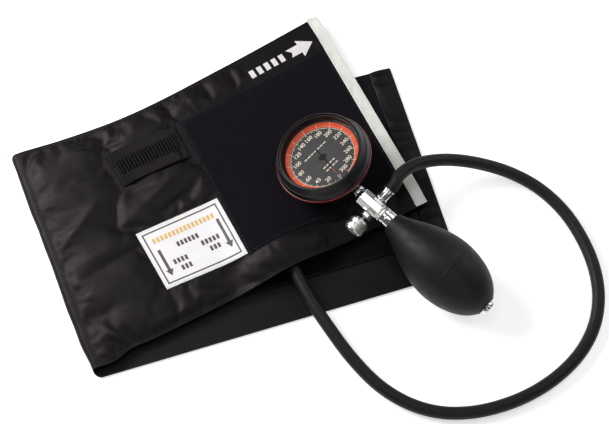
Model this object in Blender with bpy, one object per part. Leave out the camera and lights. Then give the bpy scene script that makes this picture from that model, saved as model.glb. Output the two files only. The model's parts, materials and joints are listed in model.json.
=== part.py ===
"""Aneroid blood pressure cuff with a palm-type gauge, lying folded on a table.

The cuff is folded once. Its upper half carries the bladder, the loop panel and the labels, and its lower
half swings out about the fold. The gauge, its valve block and the bulb lie on top, and a rubber hose runs
from the block round to the bladder's port between the two halves.

All driving sizes are in millimetres. They are turned into metres when a mesh is made.
Frames, each an empty:
  cuff_frame   origin under the middle of the fold, X square to the fold, Y along it
  gauge_frame  origin at the centre of the gauge's front rim, +Z out of the dial, -Y along the stem
  block_frame  origin at the block's gauge end, +Z towards the bulb, +X towards the hose barb
"""
import math

import bmesh
import bpy
from mathutils import Matrix, Vector

MM = 0.001
GAP = 0.3  # between neighbouring pieces

# The row's origin, seen from the middle of the fold: the centre of the footprint without the hose.
ORIGIN = (124.6, -21.3, 0.0)

# Cuff. Corners run anticlockwise from the fold's near end: near fold, near end, far end, far fold.
UPPER_OUTLINE = [(2.3, -76.6), (233.4, -54.7), (220.9, 96.7), (150.0, 85.0), (75.0, 75.6), (2.3, 77.0)]
LOWER_OUTLINE = [(4.5, -81.5), (236.3, -103.6), (251.9, 45.0), (4.5, 69.2)]
BLADDER_OUTLINE = [(12.0, -61.0), (212.0, -42.0), (202.0, 78.0), (12.0, 59.0)]
LOOP_PANEL_OUTLINE = [(115.1, -46.6), (223.2, -34.7), (215.0, 71.6), (107.6, 57.6)]
INDEX_STRIP_OUTLINE = [(225.7, -55.0), (233.6, -54.2), (221.1, 97.0), (213.2, 96.3)]
LABEL_OUTLINE = [(60.0, -46.7), (114.6, -45.0), (110.6, -1.8), (54.6, -4.9)]
CLIP_LOOP_OUTLINE = [(58.4, 28.2), (106.4, 31.4), (103.7, 56.8), (54.9, 53.4)]
HOOK_PANEL_OUTLINE = [(96.0, -66.8), (220.6, -78.7), (230.4, 20.0), (105.9, 31.9)]
END_HEM_OUTLINE = [(221.4, -101.9), (236.0, -103.3), (251.5, 44.7), (236.9, 46.1)]
CLOTH = 0.8
HOOK_THICKNESS = 1.0
LOOP_THICKNESS = 1.2
LABEL_THICKNESS = 0.35
WEBBING = 1.3
HEM_THICKNESS = 0.7
BLADDER_THICKNESS = 2.8
UPPER_LEVEL = 4.4
FOLD_X = 2.0
HINGE_X = -3.0

# Where the upper half rises over the hose that runs in under its near edge.
LIFT = 8.0
LIFT_CENTRE_X = 137.0
LIFT_HALF_WIDTH = 42.0
LIFT_FULL_Y = -40.0
LIFT_NONE_Y = 20.0
LIFT_CELLS = 7

# Gauge. Depths run back from the front rim.
GAUGE_CENTRE = (177.3, -9.5, 42.0)
GAUGE_NORMAL = (-0.232, 0.184, 0.955)
STEM_DIRECTION = (0.3212, -0.9124, 0.2538)
RIM_RADIUS = 27.1
FLARE_RADIUS = 30.4
RED_RING_RADIUS = 30.9
BEZEL_RADIUS = 26.0
LENS_RADIUS = 24.9
LENS_DEPTH = 4.3
DIAL_RADIUS = 23.8
DIAL_DEPTH = 8.3
DIAL_VIEW_RADIUS = 21.1
FLARE_DEPTH = 9.2
CASE_DEPTH = 24.0
CASE_WALL = 1.6
STEM_DEPTH = 18.6
STEM_RADIUS = 2.9
ZERO_ANGLE = 7.0  # the zero mark stands this far clockwise of the stem
POINTER_DEPTH = 7.7

# Movement inside the gauge.
PINION_TEETH = 8
SECTOR_RATIO = 9
MODULE = 0.4
PINION_RADIUS = PINION_TEETH * MODULE / 2
SECTOR_RADIUS = PINION_RADIUS * SECTOR_RATIO
SECTOR_PIVOT_Y = PINION_RADIUS + SECTOR_RADIUS
SECTOR_SWING = 38.0
GEAR_DEPTH = 13.0
CAPSULE_RADIUS = 11.0
CAPSULE_DEPTH = 22.1
ROCKER_Y = 8.0
ROCKER_DEPTH = 17.6
PLATE_RADIUS = 19.5
TOP_PLATE_DEPTH = 10.2
BOTTOM_PLATE_DEPTH = 15.0
PILLAR_SPOTS = [(-13.5, -8.0), (13.5, -8.0), (13.5, 11.0)]

# Valve block and bulb, which lie on one line.
BLOCK_START = (190.8, -41.3, 31.4)
BLOCK_AXIS = (0.4248, -0.9014, -0.1050)
BARB_RISE = 10.0  # degrees that the barb's axis is turned up out of level
BLOCK_LENGTH = 20.0
BLOCK_RADIUS = 5.8
CROSS_Z = 12.7  # where the barb's and the release valve's common axis crosses the block
COLLAR_END = 27.0
BULB_START = 27.3
BULB_LENGTH = 77.2
BULB_RADIUS = 21.2
BULB_BELLY = 0.57  # share of its length where it is widest
BULB_NECK = 6.8
BULB_BORE = 4.5
BULB_WALL = 2.4
BARB_END = 14.0
KNOB_RADIUS = 6.4
KNOB_NEAR = 11.2
KNOB_LENGTH = 9.4
SPINDLE_RADIUS = 1.3

# Hose, as points on its centre line from the block to the bladder's port, in the cuff's frame.
HOSE_RADIUS = 4.0
HOSE_POINT_SPACING = 16.0
HOSE_STUB = 4.0
HOSE_ROUTE = [
    (218.0, -41.0, 33.4), (228.3, -37.0, 31.2), (240.5, -36.2, 27.0), (256.0, -38.6, 20.8),
    (273.6, -45.4, 13.8), (290.6, -56.6, 8.0), (303.6, -72.0, 5.0), (311.6, -91.8, 4.3), (314.2, -113.4, 4.2),
    (312.4, -134.2, 4.2), (306.3, -152.3, 4.2), (295.8, -167.6, 4.2), (281.3, -179.4, 4.2),
    (261.8, -187.9, 4.2), (240.4, -192.0, 4.2), (219.6, -191.8, 4.2), (200.9, -188.2, 4.2),
    (184.2, -181.0, 4.2), (169.6, -169.2, 4.2), (157.5, -152.2, 4.4), (149.0, -130.6, 5.2),
    (143.4, -107.4, 6.6), (139.6, -86.4, 7.5), (138.1, -68.0, 7.6),
]
PORT_FACE = (137.8, -46.4, 7.6)


def vec(point):
    return Vector(point) * MM


def clear_scene():
    for thing in list(bpy.data.objects):
        bpy.data.objects.remove(thing, do_unlink=True)


def make_material(name, colour, roughness, metallic=0.0, alpha=1.0):
    mat = bpy.data.materials.new(name)
    mat.use_nodes = True
    shader = mat.node_tree.nodes["Principled BSDF"]
    shader.inputs["Base Color"].default_value = (*colour, 1.0)
    shader.inputs["Roughness"].default_value = roughness
    shader.inputs["Metallic"].default_value = metallic
    shader.inputs["Alpha"].default_value = alpha
    return mat


LOOKS = {
    "nylon": ((0.022, 0.02, 0.019), 0.55),
    "panel": ((0.006, 0.005, 0.009), 0.95),
    "webbing": ((0.010, 0.009, 0.010), 0.85),
    "strip": ((0.58, 0.60, 0.55), 0.6),
    "label": ((0.82, 0.80, 0.83), 0.5),
    "rubber": ((0.016, 0.016, 0.013), 0.65),
    "bladder": ((0.03, 0.028, 0.026), 0.6),
    "black_case": ((0.012, 0.012, 0.012), 0.4),
    "red": ((0.30, 0.012, 0.01), 0.4),
    "orange": ((0.75, 0.08, 0.02), 0.45),
    "lens": ((0.95, 0.95, 0.95), 0.05, 0.0, 0.15),
    "dial": ((0.07, 0.07, 0.07), 0.5),
    "pointer": ((0.008, 0.008, 0.008), 0.4),
    "brass": ((0.55, 0.38, 0.12), 0.3, 1.0),
    "steel": ((0.5, 0.5, 0.5), 0.3, 1.0),
    "chrome": ((0.8, 0.8, 0.8), 0.08, 1.0),
    "seal": ((0.01, 0.01, 0.01), 0.6),
}


def make_frame(name, origin, z_axis, x_axis, parent=None):
    """An empty whose Z and X axes lie along the given directions, as nearly as they are square."""
    z = Vector(z_axis).normalized()
    y = z.cross(Vector(x_axis)).normalized()
    x = y.cross(z)
    empty = bpy.data.objects.new(name, None)
    bpy.context.scene.collection.objects.link(empty)
    empty.parent = parent
    rotation = Matrix((x, y, z)).transposed().to_4x4()
    empty.matrix_local = Matrix.Translation(vec(origin)) @ rotation
    return empty


def add(name, bm, look, frame, pivot=(0.0, 0.0, 0.0)):
    """Turn a mesh in millimetres into a named object whose origin is at pivot in its frame."""
    bmesh.ops.recalc_face_normals(bm, faces=bm.faces)
    bmesh.ops.translate(bm, verts=bm.verts, vec=-Vector(pivot))
    bmesh.ops.scale(bm, verts=bm.verts, vec=(MM, MM, MM))
    mesh = bpy.data.meshes.new(name)
    bm.to_mesh(mesh)
    bm.free()
    mesh.shade_smooth()
    mesh.set_sharp_from_angle(angle=math.radians(35))
    mesh.materials.append(make_material(name, *LOOKS[look]))
    piece = bpy.data.objects.new(name, mesh)
    bpy.context.scene.collection.objects.link(piece)
    piece.parent = frame
    piece.location = vec(pivot)
    return piece


def cut(piece, cutter_bm, name, pivot=(0.0, 0.0, 0.0)):
    """Cut a shape, given in the piece's own frame, out of the piece."""
    cutter = add(name, cutter_bm, "steel", piece.parent, pivot)
    cutter.hide_render = True
    cutter.display_type = "WIRE"
    modifier = piece.modifiers.new(name, "BOOLEAN")
    modifier.operation = "DIFFERENCE"
    modifier.object = cutter


def turned(profile, segments=24, axis="Z"):
    """Spin (radius, height) points round the axis. A profile that starts and ends at radius 0 is solid."""
    bm = bmesh.new()
    verts = [bm.verts.new((r, 0.0, z)) for r, z in profile]
    solid = profile[0][0] == 0.0 and profile[-1][0] == 0.0
    pairs = list(zip(verts, verts[1:]))
    if not solid:
        pairs.append((verts[-1], verts[0]))
    edges = [bm.edges.new(pair) for pair in pairs]
    bmesh.ops.spin(bm, geom=verts + edges, cent=(0, 0, 0), axis=(0, 0, 1), angle=math.tau,
                   steps=segments, use_merge=True)
    bmesh.ops.remove_doubles(bm, verts=bm.verts, dist=0.0001)
    if axis == "X":
        bmesh.ops.rotate(bm, verts=bm.verts, cent=(0, 0, 0), matrix=Matrix.Rotation(math.pi / 2, 3, "Y"))
    if axis == "Y":
        bmesh.ops.rotate(bm, verts=bm.verts, cent=(0, 0, 0), matrix=Matrix.Rotation(-math.pi / 2, 3, "X"))
    return bm


def rod(radius, low, high, segments=24, axis="Z"):
    return turned([(0.0, low), (radius, low), (radius, high), (0.0, high)], segments, axis)


def tube(inner, outer, low, high, segments=24, axis="Z"):
    return turned([(inner, low), (outer, low), (outer, high), (inner, high)], segments, axis)


def ball(radius, segments=12):
    profile = []
    for step in range(segments // 2 + 1):
        turn = math.pi * step / (segments // 2)
        profile.append((radius * math.sin(turn), -radius * math.cos(turn)))
    profile[0] = (0.0, -radius)
    profile[-1] = (0.0, radius)
    return turned(profile, segments)


def moved(bm, offset):
    bmesh.ops.translate(bm, verts=bm.verts, vec=offset)
    return bm


def circle(radius, centre, count=16):
    return [(centre[0] + radius * math.cos(math.tau * i / count),
             centre[1] + radius * math.sin(math.tau * i / count)) for i in range(count)]


def plate(outline, low, high, holes=()):
    """A flat plate between two heights, with round or shaped holes."""
    bm = bmesh.new()
    edges = []
    for loop in [outline, *holes]:
        verts = [bm.verts.new((x, y, low)) for x, y in loop]
        edges += [bm.edges.new((verts[i - 1], verts[i])) for i in range(len(verts))]
    if holes:
        faces = bmesh.ops.triangle_fill(bm, edges=edges, use_beauty=True)["geom"]
        faces = [item for item in faces if isinstance(item, bmesh.types.BMFace)]
    else:
        faces = [bm.faces.new(bm.verts[:])]
    raised = bmesh.ops.extrude_face_region(bm, geom=faces)["geom"]
    top = [item for item in raised if isinstance(item, bmesh.types.BMVert)]
    bmesh.ops.translate(bm, verts=top, vec=(0, 0, high - low))
    return bm


def smoothstep(value):
    value = min(max(value, 0.0), 1.0)
    return value * value * (3 - 2 * value)


def lift_at(x, y):
    """How far the upper half stands up over the hose at a place in the cuff's frame."""
    across = abs(x - LIFT_CENTRE_X) / LIFT_HALF_WIDTH
    if across >= 1.0:
        return 0.0
    along = 1.0 - smoothstep((y - LIFT_FULL_Y) / (LIFT_NONE_Y - LIFT_FULL_Y))
    return LIFT * along * (0.5 + 0.5 * math.cos(math.pi * across))


def lifted_plate(outline, low, thickness):
    """A plate that is divided where the upper half rises, and follows that rise."""
    bm = bmesh.new()
    bm.faces.new([bm.verts.new((x, y, low)) for x, y in outline])
    for step in range(-LIFT_CELLS, LIFT_CELLS + 1):
        line = (LIFT_CENTRE_X + LIFT_HALF_WIDTH * step / LIFT_CELLS, 0, 0)
        bmesh.ops.bisect_plane(bm, geom=bm.verts[:] + bm.edges[:] + bm.faces[:], plane_co=line, plane_no=(1, 0, 0))
    for step in range(LIFT_CELLS + 1):
        line = (0, LIFT_FULL_Y + (LIFT_NONE_Y - LIFT_FULL_Y) * step / LIFT_CELLS, 0)
        bmesh.ops.bisect_plane(bm, geom=bm.verts[:] + bm.edges[:] + bm.faces[:], plane_co=line, plane_no=(0, 1, 0))
    bmesh.ops.triangulate(bm, faces=bm.faces)
    raised = bmesh.ops.extrude_face_region(bm, geom=bm.faces[:])["geom"]
    top = [item for item in raised if isinstance(item, bmesh.types.BMVert)]
    bmesh.ops.translate(bm, verts=top, vec=(0, 0, thickness))
    for vert in bm.verts:
        vert.co.z += lift_at(vert.co.x, vert.co.y)
    return bm


def build_lower_half(frame):
    """Outer cloth, inner cloth, hook panel and end hem, all swinging about the fold."""
    hinge = (HINGE_X, 0.0, (CLOTH * 2 + GAP + UPPER_LEVEL) / 2)
    inner = CLOTH + GAP
    face = inner + CLOTH + GAP
    add("lower_cover", plate(LOWER_OUTLINE, 0.0, CLOTH), "nylon", frame, hinge)
    add("lower_inner_cloth", plate(LOWER_OUTLINE, inner, inner + CLOTH), "nylon", frame, hinge)
    add("hook_panel", plate(HOOK_PANEL_OUTLINE, face, face + HOOK_THICKNESS), "panel", frame, hinge)
    add("end_hem", plate(END_HEM_OUTLINE, face, face + HEM_THICKNESS), "nylon", frame, hinge)


def build_upper_half(frame):
    """Inner cloth, bladder and outer cloth, and what is sewn on the outer cloth."""
    level = UPPER_LEVEL
    inner_cloth = add("upper_inner_cloth", lifted_plate(UPPER_OUTLINE, level, CLOTH), "nylon", frame)
    cut(inner_cloth, moved(rod(3.9, -2.0, 6.0, 16), (PORT_FACE[0], PORT_FACE[1] + 7.0, UPPER_LEVEL + LIFT)),
        "port_hole_cutter")
    level += CLOTH + GAP
    add("bladder", lifted_plate(BLADDER_OUTLINE, level, BLADDER_THICKNESS), "bladder", frame)
    level += BLADDER_THICKNESS + GAP
    add("upper_cover", lifted_plate(UPPER_OUTLINE, level, CLOTH), "nylon", frame)
    level += CLOTH + GAP
    add("loop_panel", lifted_plate(LOOP_PANEL_OUTLINE, level, LOOP_THICKNESS), "panel", frame)
    add("index_strip", plate(INDEX_STRIP_OUTLINE, level, level + LABEL_THICKNESS), "strip", frame)
    add("artery_label", lifted_plate(LABEL_OUTLINE, level, LABEL_THICKNESS), "label", frame)
    add("gauge_clip_loop", lifted_plate(CLIP_LOOP_OUTLINE, level, WEBBING), "webbing", frame)


def build_fold(frame):
    """The outer cloth's turn round the fold, a half ring that runs along it."""
    top = UPPER_LEVEL + CLOTH * 2 + BLADDER_THICKNESS + GAP * 2
    outer = top / 2
    steps = 12
    outline = []
    for radius, order in ((outer, range(steps + 1)), (outer - CLOTH, range(steps, -1, -1))):
        for step in order:
            turn = math.pi / 2 + math.pi * step / steps
            outline.append((radius * math.cos(turn), radius * math.sin(turn)))
    near, far = UPPER_OUTLINE[0][1], UPPER_OUTLINE[-1][1]
    bm = plate(outline, 0.0, far - near)
    bmesh.ops.rotate(bm, verts=bm.verts, cent=(0, 0, 0), matrix=Matrix.Rotation(math.pi / 2, 3, "X"))
    add("fold_web", moved(bm, (FOLD_X, far, outer)), "nylon", frame)


def build_port(frame):
    """The bladder's elbow port: a flange under the bladder, a stem and a short horizontal spigot."""
    x, y, z = PORT_FACE
    ceiling = UPPER_LEVEL + LIFT + CLOTH
    spigot = rod(3.6, 0.0, 10.6, 20, "Y")
    add("port_spigot", moved(spigot, (x, y, z)), "seal", frame)
    stem_low = z + 3.6 + GAP
    add("port_stem", moved(rod(3.5, stem_low, ceiling - GAP / 2, 20), (x, y + 7.0, 0.0)), "seal", frame)


def build_gauge_case(frame):
    """Bezel, rubber bumper, red ring and back case, with the lens and the dial inside the bezel."""
    ledge = LENS_DEPTH + 1.3
    add("gauge_bezel", turned([
        (BEZEL_RADIUS, -0.7), (BEZEL_RADIUS, -FLARE_DEPTH), (DIAL_RADIUS + 0.4, -FLARE_DEPTH),
        (DIAL_RADIUS + 0.4, -ledge), (LENS_RADIUS + GAP, -ledge), (LENS_RADIUS + GAP + 0.3, -0.7)], 40),
        "black_case", frame)
    add("rubber_bumper", turned([
        (BEZEL_RADIUS + GAP, -FLARE_DEPTH), (BEZEL_RADIUS + GAP, -0.3), (BEZEL_RADIUS + 0.6, 0.0),
        (RIM_RADIUS - 0.3, 0.0), (RIM_RADIUS, -0.4), (FLARE_RADIUS, -FLARE_DEPTH + 0.6),
        (FLARE_RADIUS - 0.4, -FLARE_DEPTH)], 40), "rubber", frame)
    ring_low = FLARE_DEPTH + GAP
    add("red_ring", turned([
        (BEZEL_RADIUS + GAP, -ring_low - 1.4), (BEZEL_RADIUS + GAP, -ring_low), (RED_RING_RADIUS - 0.4, -ring_low),
        (RED_RING_RADIUS, -ring_low - 0.4), (RED_RING_RADIUS, -ring_low - 1.0),
        (RED_RING_RADIUS - 0.4, -ring_low - 1.4)], 40), "red", frame)
    shoulder = ring_low + 1.4 + GAP
    back_case = add("gauge_back_case", turned([
        (22.5, -FLARE_DEPTH - GAP), (BEZEL_RADIUS, -FLARE_DEPTH - GAP), (BEZEL_RADIUS, -shoulder),
        (30.0, -shoulder), (29.6, -shoulder - 2.5), (27.2, -CASE_DEPTH + 3.5), (24.6, -CASE_DEPTH + 0.7),
        (22.0, -CASE_DEPTH), (0.0, -CASE_DEPTH), (0.0, -CASE_DEPTH + CASE_WALL),
        (21.0, -CASE_DEPTH + CASE_WALL), (23.6, -CASE_DEPTH + 3.0), (25.4, -shoulder - 2.5),
        (22.5, -shoulder)], 40), "black_case", frame)
    cut(back_case, moved(rod(STEM_RADIUS + GAP, -36.0, -18.5, 20, "Y"), (0, 0, -STEM_DEPTH)),
        "stem_hole_cutter")


def build_dial(frame):
    add("gauge_lens", turned([
        (0.0, -LENS_DEPTH), (LENS_RADIUS - 0.3, -LENS_DEPTH - 0.1), (LENS_RADIUS, -LENS_DEPTH - 0.4),
        (LENS_RADIUS, -LENS_DEPTH - 1.0), (0.0, -LENS_DEPTH - 1.0)], 40), "lens", frame)
    add("scale_ring", turned([
        (DIAL_RADIUS, -DIAL_DEPTH + 2.2), (DIAL_RADIUS, -DIAL_DEPTH + GAP), (DIAL_VIEW_RADIUS, -DIAL_DEPTH + GAP),
        (DIAL_VIEW_RADIUS, -DIAL_DEPTH + GAP + 0.15), (DIAL_RADIUS - 0.3, -DIAL_DEPTH + 2.2)], 40),
        "orange", frame)
    add("dial_plate", tube(1.0, DIAL_RADIUS, -DIAL_DEPTH - 0.5, -DIAL_DEPTH, 40), "dial", frame)


def build_pointer(frame):
    """The pointer, its hub, and the arbor and pinion that carry it. They turn together."""
    zero = math.radians(-90 - ZERO_ANGLE)
    outline = [(-6.0, -0.7), (-6.0, 0.7), (-1.6, 0.5)]
    outline += [(1.8 * math.cos(math.radians(a)), 1.8 * math.sin(math.radians(a))) for a in (150, 120, 90, 60, 30)]
    outline += [(2.4, 0.45), (14.0, 0.35), (15.0, 0.75), (19.2, 0.0), (15.0, -0.75), (14.0, -0.35), (2.4, -0.45)]
    outline += [(1.8 * math.cos(math.radians(a)), 1.8 * math.sin(math.radians(a))) for a in (-30, -60, -90, -120, -150)]
    outline += [(-1.6, -0.5)]
    bm = plate(outline, -POINTER_DEPTH, -POINTER_DEPTH + 0.3)
    bmesh.ops.rotate(bm, verts=bm.verts, cent=(0, 0, 0), matrix=Matrix.Rotation(zero, 3, "Z"))
    add("pointer", bm, "pointer", frame)
    hub_low = -POINTER_DEPTH + 0.3 + GAP
    add("pointer_hub", turned([(0.0, hub_low), (1.3, hub_low), (1.3, hub_low + 0.5), (0.9, hub_low + 0.9),
                               (0.0, hub_low + 0.9)], 20), "pointer", frame)
    arbor_top = -POINTER_DEPTH - GAP
    add("pointer_arbor", rod(0.5, -BOTTOM_PLATE_DEPTH - 0.6, arbor_top, 12), "steel", frame)


def gear_outline(radius, pitch_angle, first, count):
    """Trapezoid teeth of the movement's module, one each pitch_angle degrees from the angle first."""
    tip, root = radius + 0.7 * MODULE, radius - 0.9 * MODULE
    points = []
    for tooth in range(count):
        for share, r in ((-0.27, root), (-0.1, tip), (0.1, tip), (0.27, root)):
            turn = math.radians(first + (tooth + share) * pitch_angle)
            points.append((r * math.cos(turn), r * math.sin(turn)))
    return points


def build_gears(frame):
    """The pinion on the arbor, and the sector that drives it, pivoted above it in the movement's plates."""
    pinion_pitch = 360 / PINION_TEETH
    outline = gear_outline(PINION_RADIUS, pinion_pitch, 90 + pinion_pitch / 2, PINION_TEETH)
    add("pinion", plate(outline, -GEAR_DEPTH - 1.3, -GEAR_DEPTH + 0.3, [circle(0.8, (0, 0), 12)]), "brass", frame)
    sector_pitch = pinion_pitch / SECTOR_RATIO
    teeth = math.ceil(SECTOR_SWING / sector_pitch) + 2
    first = -90 - (teeth - 2) * sector_pitch
    rim = gear_outline(SECTOR_RADIUS, sector_pitch, first, teeth)
    hub = [(2.2 * math.cos(math.radians(a)), 2.2 * math.sin(math.radians(a))) for a in (-60, 0, 60, 120, 180)]
    pivot = (0.0, SECTOR_PIVOT_Y, -GEAR_DEPTH)
    bm = plate(rim + hub, -GEAR_DEPTH - 1.0, -GEAR_DEPTH, [circle(1.0, (0, 0), 12)])
    add("sector_gear", moved(bm, (0, SECTOR_PIVOT_Y, 0)), "brass", frame, pivot)
    shaft = rod(0.7, -BOTTOM_PLATE_DEPTH - 0.6, -TOP_PLATE_DEPTH - 0.1, 12)
    add("sector_shaft", moved(shaft, (0, SECTOR_PIVOT_Y, 0)), "steel", frame, pivot)


def build_hairspring(frame):
    """A flat spiral round the arbor."""
    turns, steps = 3, 54
    inner, outer, half = 1.9, 5.2, 0.1
    outline = []
    for side, order in ((1, range(steps + 1)), (-1, range(steps, -1, -1))):
        for step in order:
            radius = inner + (outer - inner) * step / steps + side * half
            turn = math.tau * turns * step / steps
            outline.append((radius * math.cos(turn), radius * math.sin(turn)))
    add("hairspring", plate(outline, -TOP_PLATE_DEPTH - 2.0, -TOP_PLATE_DEPTH - 1.4), "steel", frame)


def build_movement_plates(frame):
    """Two plates held apart by pillars, which carry the arbor and the sector's shaft."""
    outline = circle(PLATE_RADIUS, (0, 0), 32)
    window = [(-6.0, -14.5), (6.0, -14.5), (6.0, -5.5), (-6.0, -5.5)]
    holes = [circle(0.75, (0, 0), 12), circle(1.0, (0, SECTOR_PIVOT_Y), 12)]
    top = -TOP_PLATE_DEPTH
    bottom = -BOTTOM_PLATE_DEPTH
    add("movement_top_plate", plate(outline, top - 0.7, top, holes), "brass", frame)
    add("movement_bottom_plate", plate(outline, bottom - 0.8, bottom, holes + [window]), "brass", frame)
    for number, (x, y) in enumerate(PILLAR_SPOTS, 1):
        pillar = rod(1.5, bottom + GAP, top - 0.7 - GAP, 12)
        add(f"movement_pillar_{number}", moved(pillar, (x, y, 0)), "brass", frame)
        foot = rod(1.5, -CASE_DEPTH + CASE_WALL + GAP, bottom - 0.8 - GAP, 12)
        add(f"movement_foot_{number}", moved(foot, (x, y, 0)), "brass", frame)


def build_capsule(frame):
    """Pressure capsule in two diaphragms, with the push rod on its top one and the rocker that it lifts."""
    low = -CAPSULE_DEPTH
    add("capsule_base", turned([
        (0.0, low), (8.0, low), (9.0, low + 0.2), (CAPSULE_RADIUS, low + 0.5), (CAPSULE_RADIUS, low + 1.1),
        (0.0, low + 1.1)], 32), "brass", frame)
    mid = low + 1.1 + GAP
    add("capsule_top", turned([
        (0.0, mid), (CAPSULE_RADIUS, mid), (CAPSULE_RADIUS, mid + 0.5), (9.0, mid + 0.7), (7.0, mid + 0.5),
        (5.0, mid + 0.9), (3.0, mid + 0.9), (0.0, mid + 0.9)], 32), "brass", frame)
    rod_low = mid + 0.9 + GAP
    add("push_rod", rod(0.9, rod_low, rod_low + 1.0, 12), "steel", frame)
    pivot = (0.0, ROCKER_Y, -ROCKER_DEPTH)
    shaft = rod(0.6, -9.0, 9.0, 12, "X")
    add("rocker_shaft", moved(shaft, pivot), "steel", frame, pivot)
    lever = plate([(-0.8, -1.2), (0.8, -1.2), (0.8, ROCKER_Y - 0.9), (-0.8, ROCKER_Y - 0.9)],
                  -ROCKER_DEPTH - 0.4, -ROCKER_DEPTH + 0.4)
    add("rocker_lever", lever, "steel", frame, pivot)


def build_stem(gauge, block, frame):
    """The bent nipple from the gauge's case to the valve block, as a rod swept along its centre line."""
    to_cuff = frame.matrix_world.inverted()
    along_gauge = [(0.0, y, -STEM_DEPTH) for y in (-19.5, -26.0, -27.8)]
    along_block = [(0.0, 0.0, z) for z in (-0.2, 1.6, 4.6)]
    points = [to_cuff @ gauge.matrix_world @ vec(point) for point in along_gauge]
    points += [to_cuff @ block.matrix_world @ vec(point) for point in along_block]
    sweep("gauge_stem", points, STEM_RADIUS, "chrome", frame)


def sweep(name, points, radius, look, frame, resolution=3):
    """A round bar along a polyline, as a bevelled curve with closed ends."""
    data = bpy.data.curves.new(name, "CURVE")
    data.dimensions = "3D"
    data.bevel_depth = radius * MM
    data.bevel_resolution = resolution
    data.use_fill_caps = True
    spline = data.splines.new("POLY")
    spline.points.add(len(points) - 1)
    for spot, point in zip(spline.points, points):
        spot.co = (*point, 1.0)
    data.materials.append(make_material(name, *LOOKS[look]))
    piece = bpy.data.objects.new(name, data)
    bpy.context.scene.collection.objects.link(piece)
    piece.parent = frame


def build_block(frame):
    """The valve block: an eight-sided bar with sockets for the stem, the bulb, the barb and the spindle."""
    outline = [(BLOCK_RADIUS * math.cos(math.radians(a)), BLOCK_RADIUS * math.sin(math.radians(a)))
               for a in (22.5, 67.5, 112.5, 157.5, 202.5, 247.5, 292.5, 337.5)]
    block = add("valve_block", plate(outline, 0.0, BLOCK_LENGTH), "chrome", frame)
    cut(block, rod(STEM_RADIUS + GAP + 0.3, -1.0, 5.2, 16), "stem_socket_cutter")
    cut(block, rod(1.0, 4.0, 16.0, 12), "gallery_cutter")
    cut(block, rod(3.3, 15.0, 21.0, 16), "connector_socket_cutter")
    cut(block, moved(rod(2.3, 2.4, 7.0, 16, "X"), (0, 0, CROSS_Z)), "barb_socket_cutter")
    cut(block, moved(rod(1.9, -7.0, -1.8, 16, "X"), (0, 0, CROSS_Z)), "spindle_socket_cutter")


def build_barb(frame):
    flange = [(0.0, 2.8), (2.0, 2.8), (2.0, 6.0), (4.4, 6.0), (4.4, 7.0), (3.3, 7.0), (3.3, BARB_END),
              (1.6, BARB_END), (1.6, 4.0), (0.0, 4.0)]
    add("hose_barb", moved(turned(flange, 24, "X"), (0, 0, CROSS_Z)), "chrome", frame)


def build_release_valve(frame):
    """Gland nut on the block, and the spindle and knob that screw out of it together."""
    pivot = (0.0, 0.0, CROSS_Z)
    nut = tube(SPINDLE_RADIUS + GAP, 3.6, -8.6, -BLOCK_RADIUS - 0.2, 6, "X")
    add("gland_nut", moved(nut, pivot), "chrome", frame)
    tip = 2.4
    needle = [(0.0, -KNOB_NEAR - 6.6), (SPINDLE_RADIUS, -KNOB_NEAR - 6.6), (SPINDLE_RADIUS, -tip - 1.0),
              (0.4, -tip), (0.0, -tip)]
    add("release_spindle", moved(turned(needle, 16, "X"), pivot), "steel", frame, pivot)
    far = -KNOB_NEAR - KNOB_LENGTH
    grip = turned([
        (SPINDLE_RADIUS + GAP, -KNOB_NEAR - 6.9), (0.0, -KNOB_NEAR - 6.9), (0.0, far), (KNOB_RADIUS - 0.8, far),
        (KNOB_RADIUS, far + 0.8), (KNOB_RADIUS, -KNOB_NEAR - 3.6), (KNOB_RADIUS - 0.7, -KNOB_NEAR - 3.2),
        (KNOB_RADIUS - 0.7, -KNOB_NEAR - 2.4), (KNOB_RADIUS, -KNOB_NEAR - 2.0), (KNOB_RADIUS, -KNOB_NEAR - 0.6),
        (KNOB_RADIUS - 0.6, -KNOB_NEAR), (SPINDLE_RADIUS + GAP, -KNOB_NEAR)], 24, "X")
    add("release_knob", moved(grip, pivot), "chrome", frame, pivot)


def build_connector(frame):
    """The collar between block and bulb, with the outlet valve's ball in its bore."""
    profile = [(0.7, 37.0), (1.6, 30.2), (1.6, 15.6), (3.0, 15.6), (3.0, BLOCK_LENGTH + GAP),
               (5.6, BLOCK_LENGTH + GAP), (5.6, COLLAR_END), (4.0, COLLAR_END), (4.2, 33.0), (3.6, 37.0)]
    add("bulb_connector", turned(profile, 24), "chrome", frame)
    spot = (0.0, 0.0, 28.9)
    add("outlet_ball", moved(ball(1.25), spot), "steel", frame, spot)


def bulb_radius(share):
    """Outer radius of the bulb at a share of its length: a slow swell from the neck, then a blunt end."""
    if share < BULB_BELLY:
        swell = math.sin(math.pi / 2 * share / BULB_BELLY) ** 1.15
        return BULB_NECK + (BULB_RADIUS - BULB_NECK) * swell
    fall = (share - BULB_BELLY) / (1.017 - BULB_BELLY)
    return max(BULB_RADIUS * math.sqrt(1 - fall * fall), BULB_NECK)


def build_bulb(frame):
    """A hollow rubber bulb, open at its neck and at its valve end."""
    steps = 18
    outer = []
    for i in range(steps + 1):
        share = 1 - math.cos(math.pi / 2 * i / steps) if i > steps / 2 else i / steps * 0.586
        outer.append((bulb_radius(share), BULB_START + BULB_LENGTH * share))
    inner = [(max(r - BULB_WALL, BULB_BORE), z) for r, z in outer[1:-1]]
    inner = [(BULB_BORE, outer[0][1]), *inner, (BULB_BORE, outer[-1][1])]
    add("bulb", turned(outer + inner[::-1], 28), "rubber", frame)


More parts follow.
